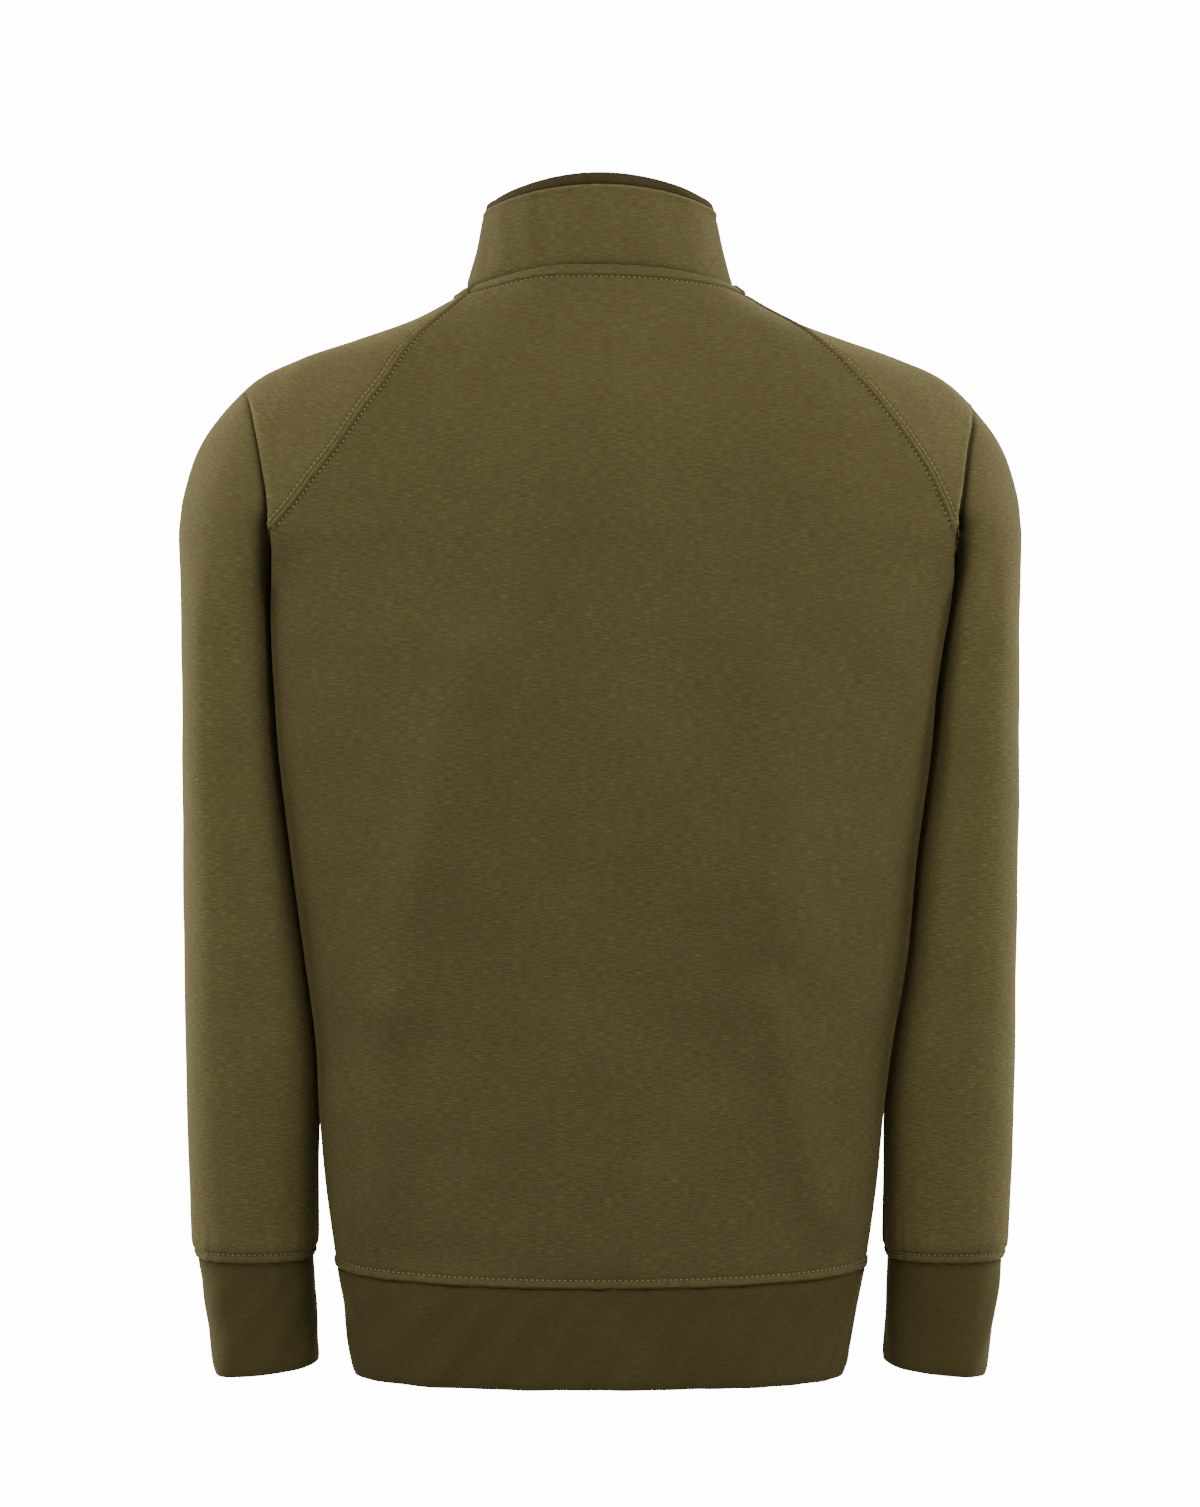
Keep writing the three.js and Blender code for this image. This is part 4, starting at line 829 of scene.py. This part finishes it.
def knit_material(name, yarn, light_yarn, brown_yarn, contrast, bump, sheen):
    """A knit cloth's material: the marled knit's colour, roughness and bump, under a soft nap."""
    material, shader, nodes, links = new_material(name)
    knit = nodes.new("ShaderNodeGroup")
    knit.node_tree = MARLED_KNIT
    for socket, colour in (("Yarn", yarn), ("Light yarn", light_yarn), ("Brown yarn", brown_yarn)):
        knit.inputs[socket].default_value = (*colour, 1)
    knit.inputs["Streak contrast"].default_value = contrast
    cloth = nodes.new("ShaderNodeUVMap")
    cloth.uv_map = "cloth"
    # The painted light and shade of each point.
    painted_light_and_shade = nodes.new("ShaderNodeAttribute")
    painted_light_and_shade.attribute_name = "painted_light_and_shade"
    links.new(painted_light_and_shade.outputs["Fac"], knit.inputs["Painted light and shade"])
    links.new(cloth.outputs["UV"], knit.inputs["Cloth"])
    links.new(knit.outputs["Colour"], shader["Base Color"])
    links.new(knit.outputs["Roughness"], shader["Roughness"])
    raise_surface(shader, nodes, links, knit.outputs["Height"], bump, KNIT_DEPTH)
    shader["Specular IOR Level"].default_value = 0.15
    shader["Sheen Weight"].default_value = sheen
    shader["Sheen Roughness"].default_value = 0.25
    shader["Sheen Tint"].default_value = NAP_TINT
    return material


JERSEY = knit_material("jersey", (0.088, 0.0745, 0.026), (0.150, 0.128, 0.049), (0.100, 0.070, 0.032),
                       0.85, 0.7, 0.28)


def dress(piece, material, node):
    """The piece gets its material, rides on the garment and stands for its node."""
    piece.data.materials.append(material)
    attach(piece, "garment")
    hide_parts(node)


BACK = {
    "side": 0,
    "zip_edge": False,
    "turn": -1,
    "seed": 11,
    "centre": (0, 0),
    "columns": 130,
    "levels": level_rows(BODY_END_Z, 0.0042),
    "walls": (True, True),
    "outward": (-1, 1),
    "raglans": ((1, 1), (-1, 1)),
    "yoke_limits": lambda at: (raglan_angle(at, 1, 1), np.pi - raglan_angle(at, -1, 1)),
    "tube": body,
    "tube_limits": lambda z: (BODY_CORNER_ANGLE, np.pi - BODY_CORNER_ANGLE),
    "seam_angles": (SIDE_SEAM_ANGLE, np.pi - SIDE_SEAM_ANGLE),
    "sag": hem_sag,
}
points, painted_light_and_shade, present, lines = finished_panel(BACK)
back = cloth_object("back_cloth", points, BACK["turn"], cloth_uv(points, points.shape[1] // 2, True),
                    present, painted_light_and_shade=painted_light_and_shade)
dress(back, JERSEY, "back")
stitch_object("back_stitches", lines)


# ------------------------------------------------------------------------------ front panels
# The two fronts are cut like the back, lower at the neck, and end at the zip, where each edge is
# folded back over the zip's tape and topstitched.

ZIP_EDGE = 0.0046


def zip_angle(half_x):
    """The angle on a ring at which it reaches the front's edge at the zip."""
    return np.arccos(ZIP_EDGE / half_x)


for side, name in ((1, "left"), (-1, "right")):
    half_x = "left_x" if side > 0 else "right_x"
    front = {
        "side": 0,
        "zip_edge": True,
        "turn": side,
        "seed": 20 + side,
        "centre": (0, 0),
        "columns": 66,
        "levels": BACK["levels"],
        "walls": (True, False),
        "outward": (-side, 0),
        "raglans": ((side, -1), None),
        "yoke_limits": lambda at, side=side: (
            turned(raglan_angle(at, side, -1), side, -1),
            turned(zip_angle(smooth(yoke_rings, "side_x", at)), side, -1)),
        "tube": body,
        "tube_limits": lambda z, side=side, half_x=half_x: (
            turned(BODY_CORNER_ANGLE, side, -1),
            turned(zip_angle(smooth(body_rings, half_x, z)), side, -1)),
        "seam_angles": (turned(-SIDE_SEAM_ANGLE, side, -1), 0),
        "sag": hem_sag,
    }
    points, painted_light_and_shade, present, lines = finished_panel(front)
    piece = cloth_object("front_%s_cloth" % name, points, side,
                         cloth_uv(points, points.shape[1] - 12, True), present, painted_light_and_shade=painted_light_and_shade)
    dress(piece, JERSEY, "front_%s" % name)
    stitch_object("front_%s_stitches" % name, lines)


# ------------------------------------------------------------------------------ sleeves
# Each raglan sleeve is one piece from the neck to the cuff, closed by an underarm seam. It is wider than its
# cuff and hangs over the seam a little. Its jersey is painted lighter than the body's, as the brighter light
# on the sleeves.

arm_rings = {
    "at": [-0.156, -0.206, -0.26, -0.3, -0.361, -0.426, -0.48, -0.522, -0.57, -0.619, -0.691],
    "outer_x": [0.2665, 0.2665, 0.2665, 0.2665, 0.2663, 0.266, 0.2657, 0.2652, 0.2638, 0.2612, 0.251],
    "left_inner_x": [0.2082, 0.2102, 0.2087, 0.2056, 0.1979, 0.1893, 0.1824, 0.1809, 0.1815, 0.181,
                     0.177],
    "right_inner_x": [0.2252, 0.2227, 0.2157, 0.2122, 0.2042, 0.1976, 0.1886, 0.1836, 0.1825, 0.1815,
                      0.1785],
    "back_y": [0.064, 0.066, 0.064, 0.062, 0.059, 0.054, 0.049, 0.045, 0.041, 0.038, 0.033],
    "front_y": [-0.074, -0.076, -0.076, -0.075, -0.073, -0.07, -0.067, -0.064, -0.061, -0.058, -0.053],
    "square": [2.4, 2.4, 2.4, 2.4, 2.35, 2.3, 2.3, 2.25, 2.2, 2.2, 2.2],
    "inner_square": [5.5, 6, 6, 5.6, 5, 4.5, 4, 3.4, 2.8, 2.4, 2.2],
}
# A copy of the jersey painted lighter, standing in for the brighter light on the sleeves.
LIT_SLEEVE_JERSEY = knit_material("sleeve_jersey", (0.104, 0.089, 0.031), (0.179, 0.153, 0.058),
                              (0.114, 0.081, 0.037), 0.85, 0.7, 0.34)
SLEEVE_CORNER_ANGLE = np.radians(165)
SLEEVE_PUFF_Z = -0.609      # from here the sleeve draws in to its cuff
SLEEVE_END_Z = -0.619
CUFF_INSET = 0.0034


def arm(side, z, angle, grow=0):
    """A point of a sleeve at a height: a ring in plan between its outer, inner, back and front
    sides, widened by grow. Angle 0 is the outer side and 90 degrees the back."""
    z, angle = np.broadcast_arrays(np.asarray(z, float), np.asarray(angle, float))
    outer = smooth(arm_rings, "outer_x", z) + grow
    inner = smooth(arm_rings, "left_inner_x" if side > 0 else "right_inner_x", z) - grow
    back_y = smooth(arm_rings, "back_y", z) + grow
    front_y = smooth(arm_rings, "front_y", z) - grow
    square = np.where(np.cos(angle) < 0, smooth(arm_rings, "inner_square", z), smooth(arm_rings, "square", z))
    x, y, _ = ring((outer - inner) / 2, (back_y - front_y) / 2, square, angle)
    return np.stack([side * ((outer + inner) / 2 + x), (back_y + front_y) / 2 + y, z], -1)


def sleeve_tube(side, z, angle):
    """The arm's ring, drawn in to the cuff over the last few millimetres."""
    draw = CUFF_INSET * ease((SLEEVE_PUFF_Z - z) / (SLEEVE_PUFF_Z - SLEEVE_END_Z))
    return arm(side, z, angle, -draw)


for side, name in ((1, "left"), (-1, "right")):
    sleeve = {
        "side": side,
        "zip_edge": False,
        "turn": side,
        "seed": 30 + side,
        "centre": (side * 0.222, -0.01),
        "columns": 116,
        "levels": level_rows(SLEEVE_END_Z, 0.0042),
        "walls": (True, True),
        "outward": (side, side),
        "raglans": ((side, 1), (side, -1)),
        "yoke_limits": lambda at, side=side: (
            turned(raglan_angle(at, side, 1), side, 1), turned(raglan_angle(at, side, -1), side, -1)
            + (2 * np.pi if side < 0 else 0)),
        "tube": lambda z, angle, side=side: sleeve_tube(side, z, angle),
        "tube_limits": lambda z: (SLEEVE_CORNER_ANGLE, -SLEEVE_CORNER_ANGLE),
        "seam_angles": (np.radians(177), -np.radians(177)),
        "sag": lambda z, angle: 0 * z * angle,
    }
    points, painted_light_and_shade, present, lines = finished_panel(sleeve)
    piece = cloth_object("sleeve_%s_cloth" % name, points, side,
                         cloth_uv(points, points.shape[1] // 2, False), present, painted_light_and_shade=painted_light_and_shade)
    dress(piece, LIT_SLEEVE_JERSEY, "sleeve_%s" % name)
    stitch_object("sleeve_%s_stitches" % name, lines)


# ------------------------------------------------------------------------------ stand collar
# The collar is two plies of the jersey, sewn into the neck. The outer one ends in a rounded fold, and the
# inner one, its unbrushed side out and painted darker as shade, goes on above it and rolls over the top.

collar_rings = {
    "at": [0, 0.25, 0.5, 0.75, 1, 1.15],
    "side_x": [0.086, 0.0824, 0.0792, 0.0766, 0.0745, 0.0736],
    "side_z": [-0.0005, 0.0135, 0.0255, 0.0375, 0.048, 0.0525],
    "back_y": [0.0616, 0.0608, 0.0592, 0.0572, 0.0553, 0.0546],
    "back_z": [0.0085, 0.021, 0.034, 0.0465, 0.059, 0.0665],
    "front_y": [0.0596, 0.0615, 0.0625, 0.063, 0.0625, 0.062],
    "front_z": [-0.0595, -0.042, -0.024, -0.007, 0.01, 0.015],
}
# How far the inner ply's face lies under the line of the outer ply's face.
inner_ply = {
    "at": [0.02, 0.5, 0.92, 1, 1.045, 1.15],
    "depth": [0.0037, 0.0037, 0.0037, 0.0028, 0.0009, 0.0008],
}
COLLAR_THICK = 0.0018
COLLAR_COLUMNS = 260
COLLAR_HALF = 0.08          # half its width at mid height, for its ends' angle
INNER_SET_BACK = 0.009      # the angle by which the inner ply ends short of the outer


def collar(at, angle):
    """A point of the collar: a ring in plan, its height eased from the sides to the back or front."""
    at, angle = np.broadcast_arrays(np.asarray(at, float), np.asarray(angle, float))
    back = np.sin(angle) >= 0
    half_y = np.where(back, smooth(collar_rings, "back_y", at), smooth(collar_rings, "front_y", at))
    end_z = np.where(back, smooth(collar_rings, "back_z", at), smooth(collar_rings, "front_z", at))
    x, y, share = ring(smooth(collar_rings, "side_x", at), half_y, 2, angle)
    return np.stack([x, y, mix(smooth(collar_rings, "side_z", at), end_z, share**2)], -1)


def band_face(form, rows, start, end, columns):
    """A band's grid of points: its rows, each with points evenly spaced between two angles."""
    face = []
    for row in rows:
        fine, along = lengths(lambda angle: form(row, angle), start, end)
        face.append(form(row, np.interp(np.linspace(0, along[-1], columns), along, fine)))
    return np.array(face)


def folded(face, normals, thickness):
    """The rows of a closed band: its face, a rounded lower end, its inner side and a rounded upper
    end. Both rounds are half circles square to the cloth."""
    half = thickness / 2
    down = face[-1] - face[-2]
    down /= np.linalg.norm(down, axis=-1, keepdims=True)
    up = face[0] - face[1]
    up /= np.linalg.norm(up, axis=-1, keepdims=True)
    turns = np.linspace(0, np.pi, 7)[1:-1]
    low = [face[-1] + normals[-1] * half * (np.cos(a) - 1) + down * half * np.sin(a) for a in turns]
    top = [face[0] + normals[0] * half * (np.cos(a) - 1) + up * half * np.sin(a) for a in turns[::-1]]
    inner = (face - normals * thickness)[::-1]
    return np.concatenate([face, np.array(low), inner, np.array(top), face[:1]])


# A band's faint dents, as shares of their height.
band_dents = {"length": [0.09, 0.06, 0.035, 0.022], "height": [1, 1, 1, 1], "times": 1, "lean": 0.4}


def band_object(name, face, turn, thickness, lift, caps, painted_light_and_shade):
    """The object of a folded band, from the rows of its face, how far each point is lifted and the painted
    highlight and shade of each row."""
    normals = grid_normals(face, turn)
    if not caps:
        seam = normals[:, 0] + normals[:, -1]
        normals[:, 0] = normals[:, -1] = seam / np.linalg.norm(seam, axis=-1, keepdims=True)
    points = folded(face + normals * lift[..., None], normals, thickness)
    rows = np.concatenate([painted_light_and_shade, np.zeros(len(points) - len(painted_light_and_shade))])
    piece = cloth_object(name, points, turn, cloth_uv(points, points.shape[1] // 2, False),
                         thickness=0, caps=caps, painted_light_and_shade=np.repeat(rows, points.shape[1]))
    closing = piece.modifiers.new("closing", "WELD")
    closing.merge_threshold = 0.00002
    return piece


outer_rows = np.concatenate([np.linspace(0, 0.06, 7), np.linspace(0.09, 0.95, 26), [0.97, 0.985, 1]])
zip_turn = zip_angle(COLLAR_HALF)
face = band_face(collar, outer_rows, -zip_turn, np.pi + zip_turn, COLLAR_COLUMNS)
foot = outer_rows[:, None]
lift = 0.0003 * swells(face, band_dents, 41) * ease(foot / 0.2) * ease((1 - foot) / 0.1)
lift += 0.0003 * bell(foot, 0.975, 0.03) - 0.0003 * bell(foot, 0.90, 0.035)
lift -= 0.0008 * bell(foot, 0, 0.05)
# Painted highlight along the rounded top fold, and painted shade at the foot by the neck seam.
painted_light_and_shade = 0.9 * bell(outer_rows, 1, 0.022) - 0.8 * bell(outer_rows, 0, 0.03)
collar_outer = band_object("collar_outer_cloth", face, 1, COLLAR_THICK, lift, True, painted_light_and_shade)
dress(collar_outer, JERSEY, "collar_outer")

inner_rows = np.concatenate([np.linspace(0.02, 0.9, 18), np.linspace(0.92, 1.15, 18)])
zip_turn -= INNER_SET_BACK
face = band_face(collar, inner_rows, -zip_turn, np.pi + zip_turn, COLLAR_COLUMNS)
top_edge = inner_rows[:, None]
lift = -smooth(inner_ply, "depth", inner_rows)[:, None] + 0 * face[..., 0]
lift += 0.00018 * swells(face, band_dents, 42) * ease((top_edge - 1.0) / 0.1)
# Painted shade over the whole inner ply.
collar_inner = band_object("collar_inner_cloth", face, 1, COLLAR_THICK, lift, True,
                           -0.6 + 0 * inner_rows)
# The jersey's unbrushed reverse, its colours painted darker as the shade the inner ply lies in.
SHADED_REVERSE = knit_material("jersey_reverse_painted_shade", (0.064, 0.053, 0.019), (0.104, 0.088, 0.033),
                        (0.072, 0.050, 0.023), 0.7, 0.6, 0.2)
dress(collar_inner, SHADED_REVERSE, "collar_inner")


# ------------------------------------------------------------------------------ hem band
# A strip of the same knit in a deeper shade, folded double along its lower edge and sewn to the
# body, with its ends at the zip.

HEM_GAP = 0.0004
HEM_END_Z = -0.6905
HEM_HALF = 0.163            # half the band's width at mid height
HEM_COLUMNS = 420
RIB_THICK = 0.0024
RIB = knit_material("rib", (0.070, 0.058, 0.018), (0.107, 0.090, 0.0285), (0.077, 0.055, 0.022),
                    0.6, 0.45, 0.3)


def hem(share, angle):
    """A point of the hem band: the body's ring between the hem seam and the lower edge."""
    z = mix(BODY_END_Z - HEM_GAP - hem_sag(BODY_END_Z, angle), HEM_END_Z, share)
    point = body(z, angle)
    point[..., 2] = z
    return point


hem_rows = np.concatenate([np.linspace(0, 0.06, 5), np.linspace(0.1, 0.9, 22),
                           np.linspace(0.93, 0.985, 4)])
hem_turn = zip_angle(HEM_HALF)
face = band_face(hem, hem_rows, -hem_turn, np.pi + hem_turn, HEM_COLUMNS)
share = hem_rows[:, None]
lift = 0.00045 * swells(face, band_dents, 43) * ease(share / 0.25)
lift -= 0.0009 * ease((share - 0.88) / 0.12) ** 2
lift -= 0.0005 * bell(share, 0, 0.03)
# Painted shadow along the band's top, under the panels' turned edge.
hem_band = band_object("hem_band_cloth", face, -1, RIB_THICK, lift, True, -0.7 * bell(hem_rows, 0, 0.03))
dress(hem_band, RIB, "hem_band")


# ------------------------------------------------------------------------------ cuffs
# Each cuff is a ring of the darker knit, folded double and sewn into its sleeve, a little lower on
# its outer side.

CUFF_END_Z = -0.691
CUFF_TILT = 0.004           # how much lower it hangs on its outer side
CUFF_COLUMNS = 190


def cuff(side, share, angle):
    """A point of a cuff: the arm's ring, inset from the sleeve, between its seam and lower edge."""
    z = mix(SLEEVE_END_Z - HEM_GAP, CUFF_END_Z, share)
    point = arm(side, z, angle, -CUFF_INSET)
    point[..., 2] -= CUFF_TILT * share * np.cos(angle)
    return point


cuff_rows = np.concatenate([np.linspace(-0.06, 0.06, 7), np.linspace(0.1, 0.9, 22),
                            np.linspace(0.93, 0.985, 4)])
for side, name in ((1, "left"), (-1, "right")):
    face = band_face(lambda share, angle, side=side: cuff(side, share, angle), cuff_rows,
                     np.pi, -np.pi, CUFF_COLUMNS)
    share = cuff_rows[:, None]
    lift = 0.00035 * swells(face, band_dents, 44 + side) * ease(share / 0.25)
    lift -= 0.0008 * ease((share - 0.88) / 0.12) ** 2
    # Painted shadow along the cuff's top, under the sleeve's turned edge.
    piece = band_object("cuff_%s_cloth" % name, face, side, RIB_THICK, lift, False,
                        -0.7 * bell(cuff_rows, 0, 0.04))
    dress(piece, RIB, "cuff_%s" % name)


# ------------------------------------------------------------------------------ zip
# A coil zip runs from the hem into the collar, sewn under the fronts' edges by its woven tapes. The
# slider, its pull and the box at the foot are dark dulled metal, die cast.

TAPE_INNER = 0.0015         # a tape's edges, from the centre
TAPE_OUTER = 0.013
TAPE_DEPTH = 0.0025         # how far it lies under the fronts' face
BAND_TAPE_DEPTH = 0.0029    # and under the hem band's
TAPE_THICK = 0.0009
TAPE_TOP = 0.92             # the collar's rings that the tapes and teeth reach
TEETH_TOP = 0.87
TEETH_FOOT_Z = -0.6798
TEETH_PITCH = 0.0014
TEETH_MIDDLE = 0.0014       # each row of teeth lies this far from the centre
TEETH_DEPTH = 0.0012
TEETH_SIZE = (0.0032, 0.0012, 0.0019)       # length, width and height


def zip_face(x, collar_top):
    """Points on the fronts' face at set distances from the centre, in rows from the hem's lower edge
    up to a ring of the collar."""
    x = x[None, :]

    def reach(half_x):
        return -np.arccos(x / half_x)

    band = hem(np.linspace(1, 0, 16)[:, None], reach(smooth(body_rings, "left_x", HEM_END_Z)))
    level = BACK["levels"][:0:-1, None]
    angle = reach(smooth(body_rings, "left_x", level))
    z = level - hem_sag(level, angle)
    upper = yoke(1, reach(smooth(yoke_rings, "side_x", 1))) + 0 * z[..., None]
    upper[..., 2] = z
    low = mix(upper, body(z, angle), joined(level)[..., None])
    at = YOKE_ROWS[:0:-1, None]
    high = yoke(at, reach(smooth(yoke_rings, "side_x", at)))
    at = np.linspace(0, collar_top, 24)[:, None]
    neck = collar(at, reach(smooth(collar_rings, "side_x", at)))
    return np.concatenate([band, low, high, neck]), len(band)


TAPE_DARK = (0.040, 0.032, 0.012)
TAPE_LIGHT = (0.062, 0.051, 0.019)
TAPE_WEAVE = 0.0007


def woven_material():
    """Woven tape: bars and grooves across and along it, with a slight change of shade."""
    material, shader, nodes, links = new_material("woven_tape")
    cloth = nodes.new("ShaderNodeUVMap")
    cloth.uv_map = "cloth"
    weave = nodes.new("ShaderNodeTexChecker")
    weave.inputs["Scale"].default_value = 1 / TAPE_WEAVE
    weave.inputs["Color1"].default_value = (*TAPE_DARK, 1)
    weave.inputs["Color2"].default_value = (*TAPE_LIGHT, 1)
    links.new(cloth.outputs["UV"], weave.inputs["Vector"])
    links.new(weave.outputs["Color"], shader["Base Color"])
    raise_surface(shader, nodes, links, weave.outputs["Fac"], 0.5, 0.0001)
    shader["Roughness"].default_value = 0.85
    shader["Specular IOR Level"].default_value = 0.2
    return material


WOVEN_TAPE = woven_material()
for side, name in ((1, "left"), (-1, "right")):
    x = np.sort(side * np.linspace(TAPE_INNER, TAPE_OUTER, 9))
    face, band_rows = zip_face(x, TAPE_TOP)
    normals = grid_normals(face, 1)
    depth = np.interp(np.arange(len(face)), [band_rows - 1, band_rows + 3], [BAND_TAPE_DEPTH, TAPE_DEPTH])
    points = face - normals * depth[:, None, None]
    tape = cloth_object("zip_tape_%s_cloth" % name, points, 1, cloth_uv(points, 4, False),
                        thickness=TAPE_THICK)
    dress(tape, WOVEN_TAPE, "zip_tape_%s" % name)


# Moulded coil teeth: semi-matt, with a little wear along them.
TEETH_DARK = (0.036, 0.030, 0.012)
TEETH_LIGHT = (0.066, 0.055, 0.022)
TEETH, _ = mottled_material("coil_teeth", TEETH_DARK, TEETH_LIGHT, 160, 2, (0.35, 0.6))
rows = []
for side in (1, -1):
    x = side * (TEETH_MIDDLE + np.array([-0.0005, 0, 0.0005]))
    face, _ = zip_face(x, TEETH_TOP)
    normals = grid_normals(face, side)[:, 1]
    line = face[:, 1] - normals * TEETH_DEPTH
    kept = line[:, 2] > TEETH_FOOT_Z
    line, normals = line[kept], normals[kept]
    if side > 0:            # the left row starts half a pitch further on
        step = line[1] - line[0]
        line[0] += step * TEETH_PITCH / 2 / np.linalg.norm(step)
    rows.append(bars(line, normals, TEETH_PITCH, TEETH_SIZE, True))
teeth = bar_object("zip_teeth", rows)
dress(teeth, TEETH, "zip_chain")


# Dark dulled metal: cloudy, finely pitted and a little brighter where it is rubbed.
METAL_DARK = (0.16, 0.15, 0.125)
METAL_LIGHT = (0.30, 0.285, 0.24)
METAL, shader = mottled_material("dulled_metal", METAL_DARK, METAL_LIGHT, 120, 4, (0.28, 0.5),
                                 (2500, 0.3, 0.00005))
shader["Metallic"].default_value = 1
for name in ("zip_slider", "zip_pull", "zip_box"):
    node = bpy.data.objects[name]
    for slot in node.material_slots:
        slot.material = METAL


# ------------------------------------------------------------------------------ stage and camera
# A pale seamless studio bowl that only the camera sees, faint light from all round, a soft light on
# each side of the viewer, one beside and a thin one behind each sleeve, and one for the front.

CAMERA_DISTANCE = 2.5
CAMERA_Z = -0.297
VIEW_HEIGHT = 0.96448       # what the camera sees from top to bottom at the origin's distance
SENSOR = 36
FLOOR_Z = -1.45
angles = np.linspace(0, 2 * np.pi, 97)[None, :]
curve = np.linspace(0, np.pi / 2, 13)
bowl_r = np.concatenate([[0.02, 1, 2], 3.4 + 1.2 * np.sin(curve), [4.6]])[:, None]
bowl_z = FLOOR_Z + np.concatenate([[0, 0, 0], 1.2 - 1.2 * np.cos(curve), [4.5]])[:, None]
bowl_points = np.stack([bowl_r * np.cos(angles), bowl_r * np.sin(angles), bowl_z + 0 * angles], -1)
floor = cloth_object("studio_floor", bowl_points, 1, bowl_points[..., :2].copy(), thickness=0)
floor_material = bpy.data.materials.new("studio_paper")
floor_material.use_nodes = True
paper = floor_material.node_tree.nodes["Principled BSDF"]
paper.inputs["Base Color"].default_value = (0.9, 0.9, 0.9, 1)
paper.inputs["Roughness"].default_value = 0.9
paper.inputs["Emission Color"].default_value = (1, 1, 1, 1)
paper.inputs["Emission Strength"].default_value = 14.0
floor.data.materials.append(floor_material)
floor.visible_diffuse = False
floor.visible_glossy = False
floor.visible_shadow = False

world = bpy.data.worlds.new("studio")
world.use_nodes = True
world.node_tree.nodes["Background"].inputs["Color"].default_value = (1, 1, 1, 1)
world.node_tree.nodes["Background"].inputs["Strength"].default_value = 0.35
bpy.context.scene.world = world


def soft_light(name, place, aim, width, height, power):
    """A rectangular soft light at a place, turned towards a point."""
    lamp = bpy.data.lights.new(name, "AREA")
    lamp.shape = "RECTANGLE"
    lamp.size = width
    lamp.size_y = height
    lamp.energy = power
    light = bpy.data.objects.new(name, lamp)
    bpy.context.collection.objects.link(light)
    light.location = place
    direction = np.array(aim, float) - np.array(place, float)
    turn_z = np.arctan2(direction[0], -direction[1])
    tilt = np.arctan2(np.hypot(direction[0], direction[1]), -direction[2])
    light.rotation_euler = (tilt, 0, turn_z + np.pi)
    light.visible_camera = False


soft_light("left_key", (0.75, 1.65, 0.9), (0, 0, 0), 0.9, 1.1, 16.5)
soft_light("right_key", (-0.75, 1.65, 0.9), (0, 0, 0), 0.9, 1.1, 16.5)
soft_light("left_side", (1.4, 0.1, -0.05), (0.25, 0, -0.3), 0.4, 0.8, 5.5)
soft_light("right_side", (-1.4, 0.1, -0.05), (-0.25, 0, -0.3), 0.4, 0.8, 7.5)
soft_light("left_edge", (1.5, -0.7, 0.1), (0.2, 0, -0.3), 0.5, 1.8, 30)
soft_light("right_edge", (-1.5, -0.7, 0.1), (-0.2, 0, -0.3), 0.5, 1.8, 24)
soft_light("front_fill", (-0.6, -2.4, 1.2), (0, 0, -0.3), 1.6, 1.4, 22)

camera = bpy.data.cameras.new("camera")
camera.sensor_width = SENSOR
camera.lens = SENSOR * CAMERA_DISTANCE / VIEW_HEIGHT
viewer = bpy.data.objects.new("camera", camera)
viewer.location = (0, CAMERA_DISTANCE, CAMERA_Z)
viewer.rotation_euler = (np.pi / 2, 0, np.pi)
bpy.context.collection.objects.link(viewer)
bpy.context.scene.camera = viewer
